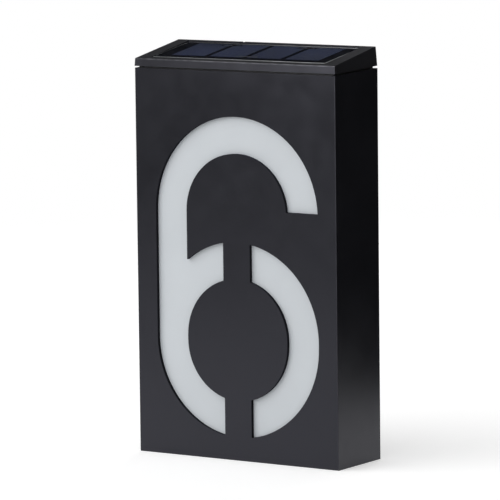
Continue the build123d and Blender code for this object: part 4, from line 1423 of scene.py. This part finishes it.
@dataclass
class Lid(SubAssembly):
    """The wedge lid with the solar panel, on its rubber neck.

    Args:
        bead_radius: radius of the clear bead round the panel's top edge.
        bead_sunk: how far the bead's middle lies below that edge.
        bead_left: the bead's share of its radius along the panel's left edge.
        bead_swell: the share of the panel's width over which it comes up to its full radius.
        bead_corner: radius of the bead's line at the panel's corners.
    """

    finishes: ClassVar[dict[str, Finish]] = {
        "cap_shell": LID_PLASTIC,
        "cap_gasket": BLACK_RUBBER,
        "cap_screws": ZINC_STEEL,
        "lead_grommet": BLACK_RUBBER,
        "solar_lead_plus": WIRE_RED,
        "solar_lead_minus": WIRE_BLACK,
        "panel_adhesive": BOND_PAD,
        "solar_backing": PANEL_BLACK,
        "solar_cells": SILICON,
        "cell_ribbons": TINNED_STRIP,
        "solar_cover": CLEAR_COVER,
    }
    bead_radius: float = 0.16 * MM
    bead_sunk: float = 0.08 * MM
    # bead_left: the bead's share of its radius along the panel's left edge, which lies in shade, so
    # that less of the bead's painted glint shows there.
    bead_left: float = 0.45
    bead_swell: float = 0.12
    bead_corner: float = 0.5 * MM
    corner_points: ClassVar[int] = 7
    bead_columns: ClassVar[int] = 14

    def build(self) -> None:
        """The clear bead, in a painted-glint grey: a round profile carried along a rounded
        rectangle.

        The line is four quarter turns, each about its own corner's middle. The profile's angle
        swings from the line's outward side to the panel's own outward direction.
        """
        axes, low, high = slab("solar_cover")
        turn = np.linspace(0, math.pi / 2, self.corner_points)
        angle = np.concatenate([turn + quarter * math.pi / 2 for quarter in range(4)])
        signs = np.array(((1, 1), (-1, 1), (-1, -1), (1, -1)))
        half = (high[:2] - low[:2]) / 2 - self.bead_corner
        middles = np.repeat(signs * half, self.corner_points, axis=0) + (high[:2] + low[:2]) / 2
        outward = np.stack((np.cos(angle), np.sin(angle)), -1)
        line = middles + (self.bead_corner - self.bead_sunk) * outward
        swing = circle(self.bead_columns)[None, :, None]
        across = (line[:, :1] - low[0]) / (high[0] - low[0])
        share = self.bead_left + (1 - self.bead_left) * np.clip(across / self.bead_swell, 0, 1)
        radius = (self.bead_radius * share)[:, None]
        flat = line[:, None] + radius * np.cos(swing) * outward[:, None]
        rise = high[2] - self.bead_sunk + radius * np.sin(swing) + 0 * flat[..., :1]
        grid = np.concatenate((flat, rise), -1) @ axes
        surface = Surface().add(grid, wrap_rows=True, wrap_columns=True)
        surface.piece("panel_bead", BEAD_GLINT_GREY, Body.SIGN)


# ---------------------------------------------------------------- studio
@dataclass(frozen=True)
class Panel:
    """A rectangle of the studio: a soft lamp, or a plain card that only gloss and glass see.

    Args:
        name: its name.
        middle: its middle.
        towards: the point that it faces.
        across: its width.
        high: its height.
        level: a lamp's watts, or a card's own brightness, where 1 is white.
    """

    name: str
    middle: Point
    towards: Point
    across: float
    high: float
    level: float

    def aim(self) -> Vector:
        """The way from its middle to the point that it faces."""
        return Vector(self.towards) - Vector(self.middle)


@dataclass
class Studio:
    """The pale floor, the white surroundings, soft lamps, cards and the photograph's camera.

    Args:
        lens: focal length in millimetres.
        sensor: width of the sensor in millimetres.
        camera_place: where the camera is.
        look: the direction it looks in.
        right: the direction of the picture's right.
        floor_reach: radius of the floor.
        floor_whole: radius within which the floor is solid; it fades out from there.
        floor_faded: share of its reach at which it has faded out.
        floor_colour: the floor's colour.
        floor_glow: white added to it for camera, gloss and glass.
        ambient: the surroundings' level as light.
        lamps: the soft lamps.
        cards: the cards that gloss sees.
    """

    lens: float = 304.95
    sensor: float = 36.0
    camera_place: Point = (1.16820, -1.77766, 0.36859)
    look: Point = (-0.546434, 0.828433, -0.122914)
    right: Point = (0.835481, 0.549403, -0.011320)
    floor_reach: float = 1.1
    floor_whole: float = 0.55
    floor_faded: float = 0.97
    floor_hub: ClassVar[float] = 0.001
    floor_rings: ClassVar[int] = 24
    floor_columns: ClassVar[int] = 97
    floor_colour: Colour = (0.80, 0.80, 0.80)
    floor_glow: float = 0.38
    ambient: float = 0.40
    lamps: tuple[Panel, ...] = (
        Panel("left_softbox", (-0.80, -0.90, 1.00), (0.0, 0.0, 0.12), 1.50, 1.50, 12.6),
        Panel("front_softbox", (0.10, -1.40, 0.45), (0.0, 0.0, 0.12), 0.80, 0.80, 2.3),
        Panel("top_softbox", (0.0, -0.30, 1.50), (0.0, 0.0, 0.12), 0.80, 0.80, 2.5),
        Panel("rear_softbox", (-0.30, 1.40, 0.50), (0.0, 0.0, 0.12), 0.80, 0.80, 8.0),
    )
    cards: tuple[Panel, ...] = (
        Panel("right_card", (0.157, 0.172, 0.40), (0.0, 0.0, 0.0), 1.20, 0.80, 0.0),
        Panel("back_card", (-0.42, 0.60, 0.72), (0.0, 0.0, 0.0), 2.20, 1.40, 0.0),
        Panel("front_card", (-0.36, -0.56, 0.24), (0.0, 0.0, 0.0), 1.20, 0.52, 0.08),
        Panel("left_rim_card", (-0.06, -0.16, 0.29), (-0.06, 0.0, 0.0), 0.08, 0.12, 7.8),
        Panel("right_rim_card", (0.06, -0.16, 0.29), (0.06, 0.0, 0.0), 0.08, 0.12, 34.0),
    )

    def camera(self) -> None:
        """The camera at the photograph's place, from its look and right directions."""
        data = bpy.data.cameras.new("photo_camera")
        data.lens = self.lens
        data.sensor_width = self.sensor
        data.clip_start, data.clip_end = 0.05, 60.0
        made = linked("photo_camera", data)
        right = Vector(self.right).normalized()
        back = -Vector(self.look).normalized()
        up = back.cross(right).normalized()
        turn = Matrix((right, up, back)).transposed()
        made.matrix_world = Matrix.Translation(self.camera_place) @ turn.to_4x4()
        bpy.context.scene.camera = made

    def stage_piece(self, name: str, grid: np.ndarray, finish: bpy.types.Material
                    ) -> bpy.types.Object:
        """Makes a grid of points a part of the stage.

        Args:
            name: the piece's name.
            grid: its points.
            finish: its material.

        Returns:
            The piece.
        """
        surface = Surface().add(grid)
        mesh = bpy.data.meshes.new(name)
        mesh.from_pydata(surface.points[0].tolist(), [], surface.quads[0].tolist())
        mesh.materials.append(finish)
        made = linked(name, mesh)
        return made

    def floor(self) -> None:
        """A round floor: each ring of points lies at its own share of the reach.

        Its paper is matt, glows a little for camera, gloss and glass, and turns clear towards
        the rim, by a smooth step in the distance from the middle.
        """
        share = np.linspace(self.floor_hub, 1, self.floor_rings)[:, None]
        angle = np.linspace(0, 2 * math.pi, self.floor_columns)
        grid = polar(self.floor_reach * share, angle, 0.0)
        made, graph, shader = shaded("paper_floor")
        place = graph.add("ShaderNodeTexCoord").outputs["Object"]
        drift = {"Place": place, "Colour": self.floor_colour, "Size": 0.4, "Amount": 0.01}
        away = graph.add("ShaderNodeVectorMath", {0: place}, operation="LENGTH").outputs["Value"]
        graph.wire(shader, {
            "Base Color": graph.group(TONE_DRIFT, drift),
            "Roughness": 0.95,
            "Specular IOR Level": 0.1,
            "Emission Color": WHITE,
            "Emission Strength": graph.maths("MULTIPLY", seen_rays(graph), self.floor_glow),
            "Alpha": graph.span(away, self.floor_whole, self.floor_faded * self.floor_reach,
                                1.0, 0.0, smooth=True),
        })
        self.stage_piece("paper_floor", grid, made)

    def surroundings(self) -> None:
        """White surroundings for camera, gloss and glass, and a softer level as light."""
        world = bpy.data.worlds.new("studio")
        bpy.context.scene.world = world
        world.use_nodes = True
        graph = Graph(world.node_tree)
        level = graph.span(seen_rays(graph), 0, 1, self.ambient, 1)
        graph.wire(world.node_tree.nodes["Background"], {"Color": WHITE, "Strength": level})

    def lamp(self, box: Panel) -> None:
        """Makes one soft lamp.

        Args:
            box: its sizes and place.
        """
        data = bpy.data.lights.new(box.name, "AREA")
        data.shape = "RECTANGLE"
        data.size, data.size_y = box.across, box.high
        data.energy = box.level
        made = linked(box.name, data)
        made.location = box.middle
        made.rotation_euler = box.aim().to_track_quat("-Z", "Y").to_euler()
        made.visible_camera = False

    def card(self, card: Panel) -> None:
        """Makes one card, an evenly glowing sheet that only gloss and glass see.

        Args:
            card: its sizes and place.
        """
        u, v = np.meshgrid((-card.across / 2, card.across / 2), (-card.high / 2, card.high / 2),
                           indexing="ij")
        aim = card.aim()
        aim.z = 0.0
        grid = placed(np.stack((u, v, 0 * u), -1), card.middle, aim)
        made, graph, shader = shaded(card.name)
        graph.wire(shader, {"Base Color": BLACK, "Specular IOR Level": 0.0,
                            "Emission Color": WHITE, "Emission Strength": card.level})
        sheet = self.stage_piece(card.name, grid, made)
        sheet.visible_camera = False
        sheet.visible_diffuse = False
        sheet.visible_shadow = False

    def build(self) -> None:
        """Builds the whole studio."""
        self.camera()
        self.floor()
        self.surroundings()
        for box in self.lamps:
            self.lamp(box)
        for card in self.cards:
            self.card(card)
        bpy.context.scene.view_settings.view_transform = "Standard"
        log.info("studio: %d lamps, %d cards", len(self.lamps), len(self.cards))


def seen_rays(graph: Graph) -> Socket:
    """1 for rays of the camera, of gloss or through glass, and 0 for the light's own.

    Args:
        graph: the material's or world's graph.

    Returns:
        The value's socket.
    """
    path = graph.add("ShaderNodeLightPath")
    names = ("Is Camera Ray", "Is Glossy Ray", "Is Transmission Ray")
    return graph.fold("MAXIMUM", [path.outputs[name] for name in names])


def main() -> None:
    """Builds the studio and every sub-assembly."""
    logging.basicConfig(level=logging.INFO, format="%(name)s: %(message)s")
    Studio().build()
    for assembly in (Housing(), LightBox(), Controls(), RearCover(), BatteryBay(), Lid()):
        assembly.dress()
        assembly.build()


if __name__ == "__main__":
    main()
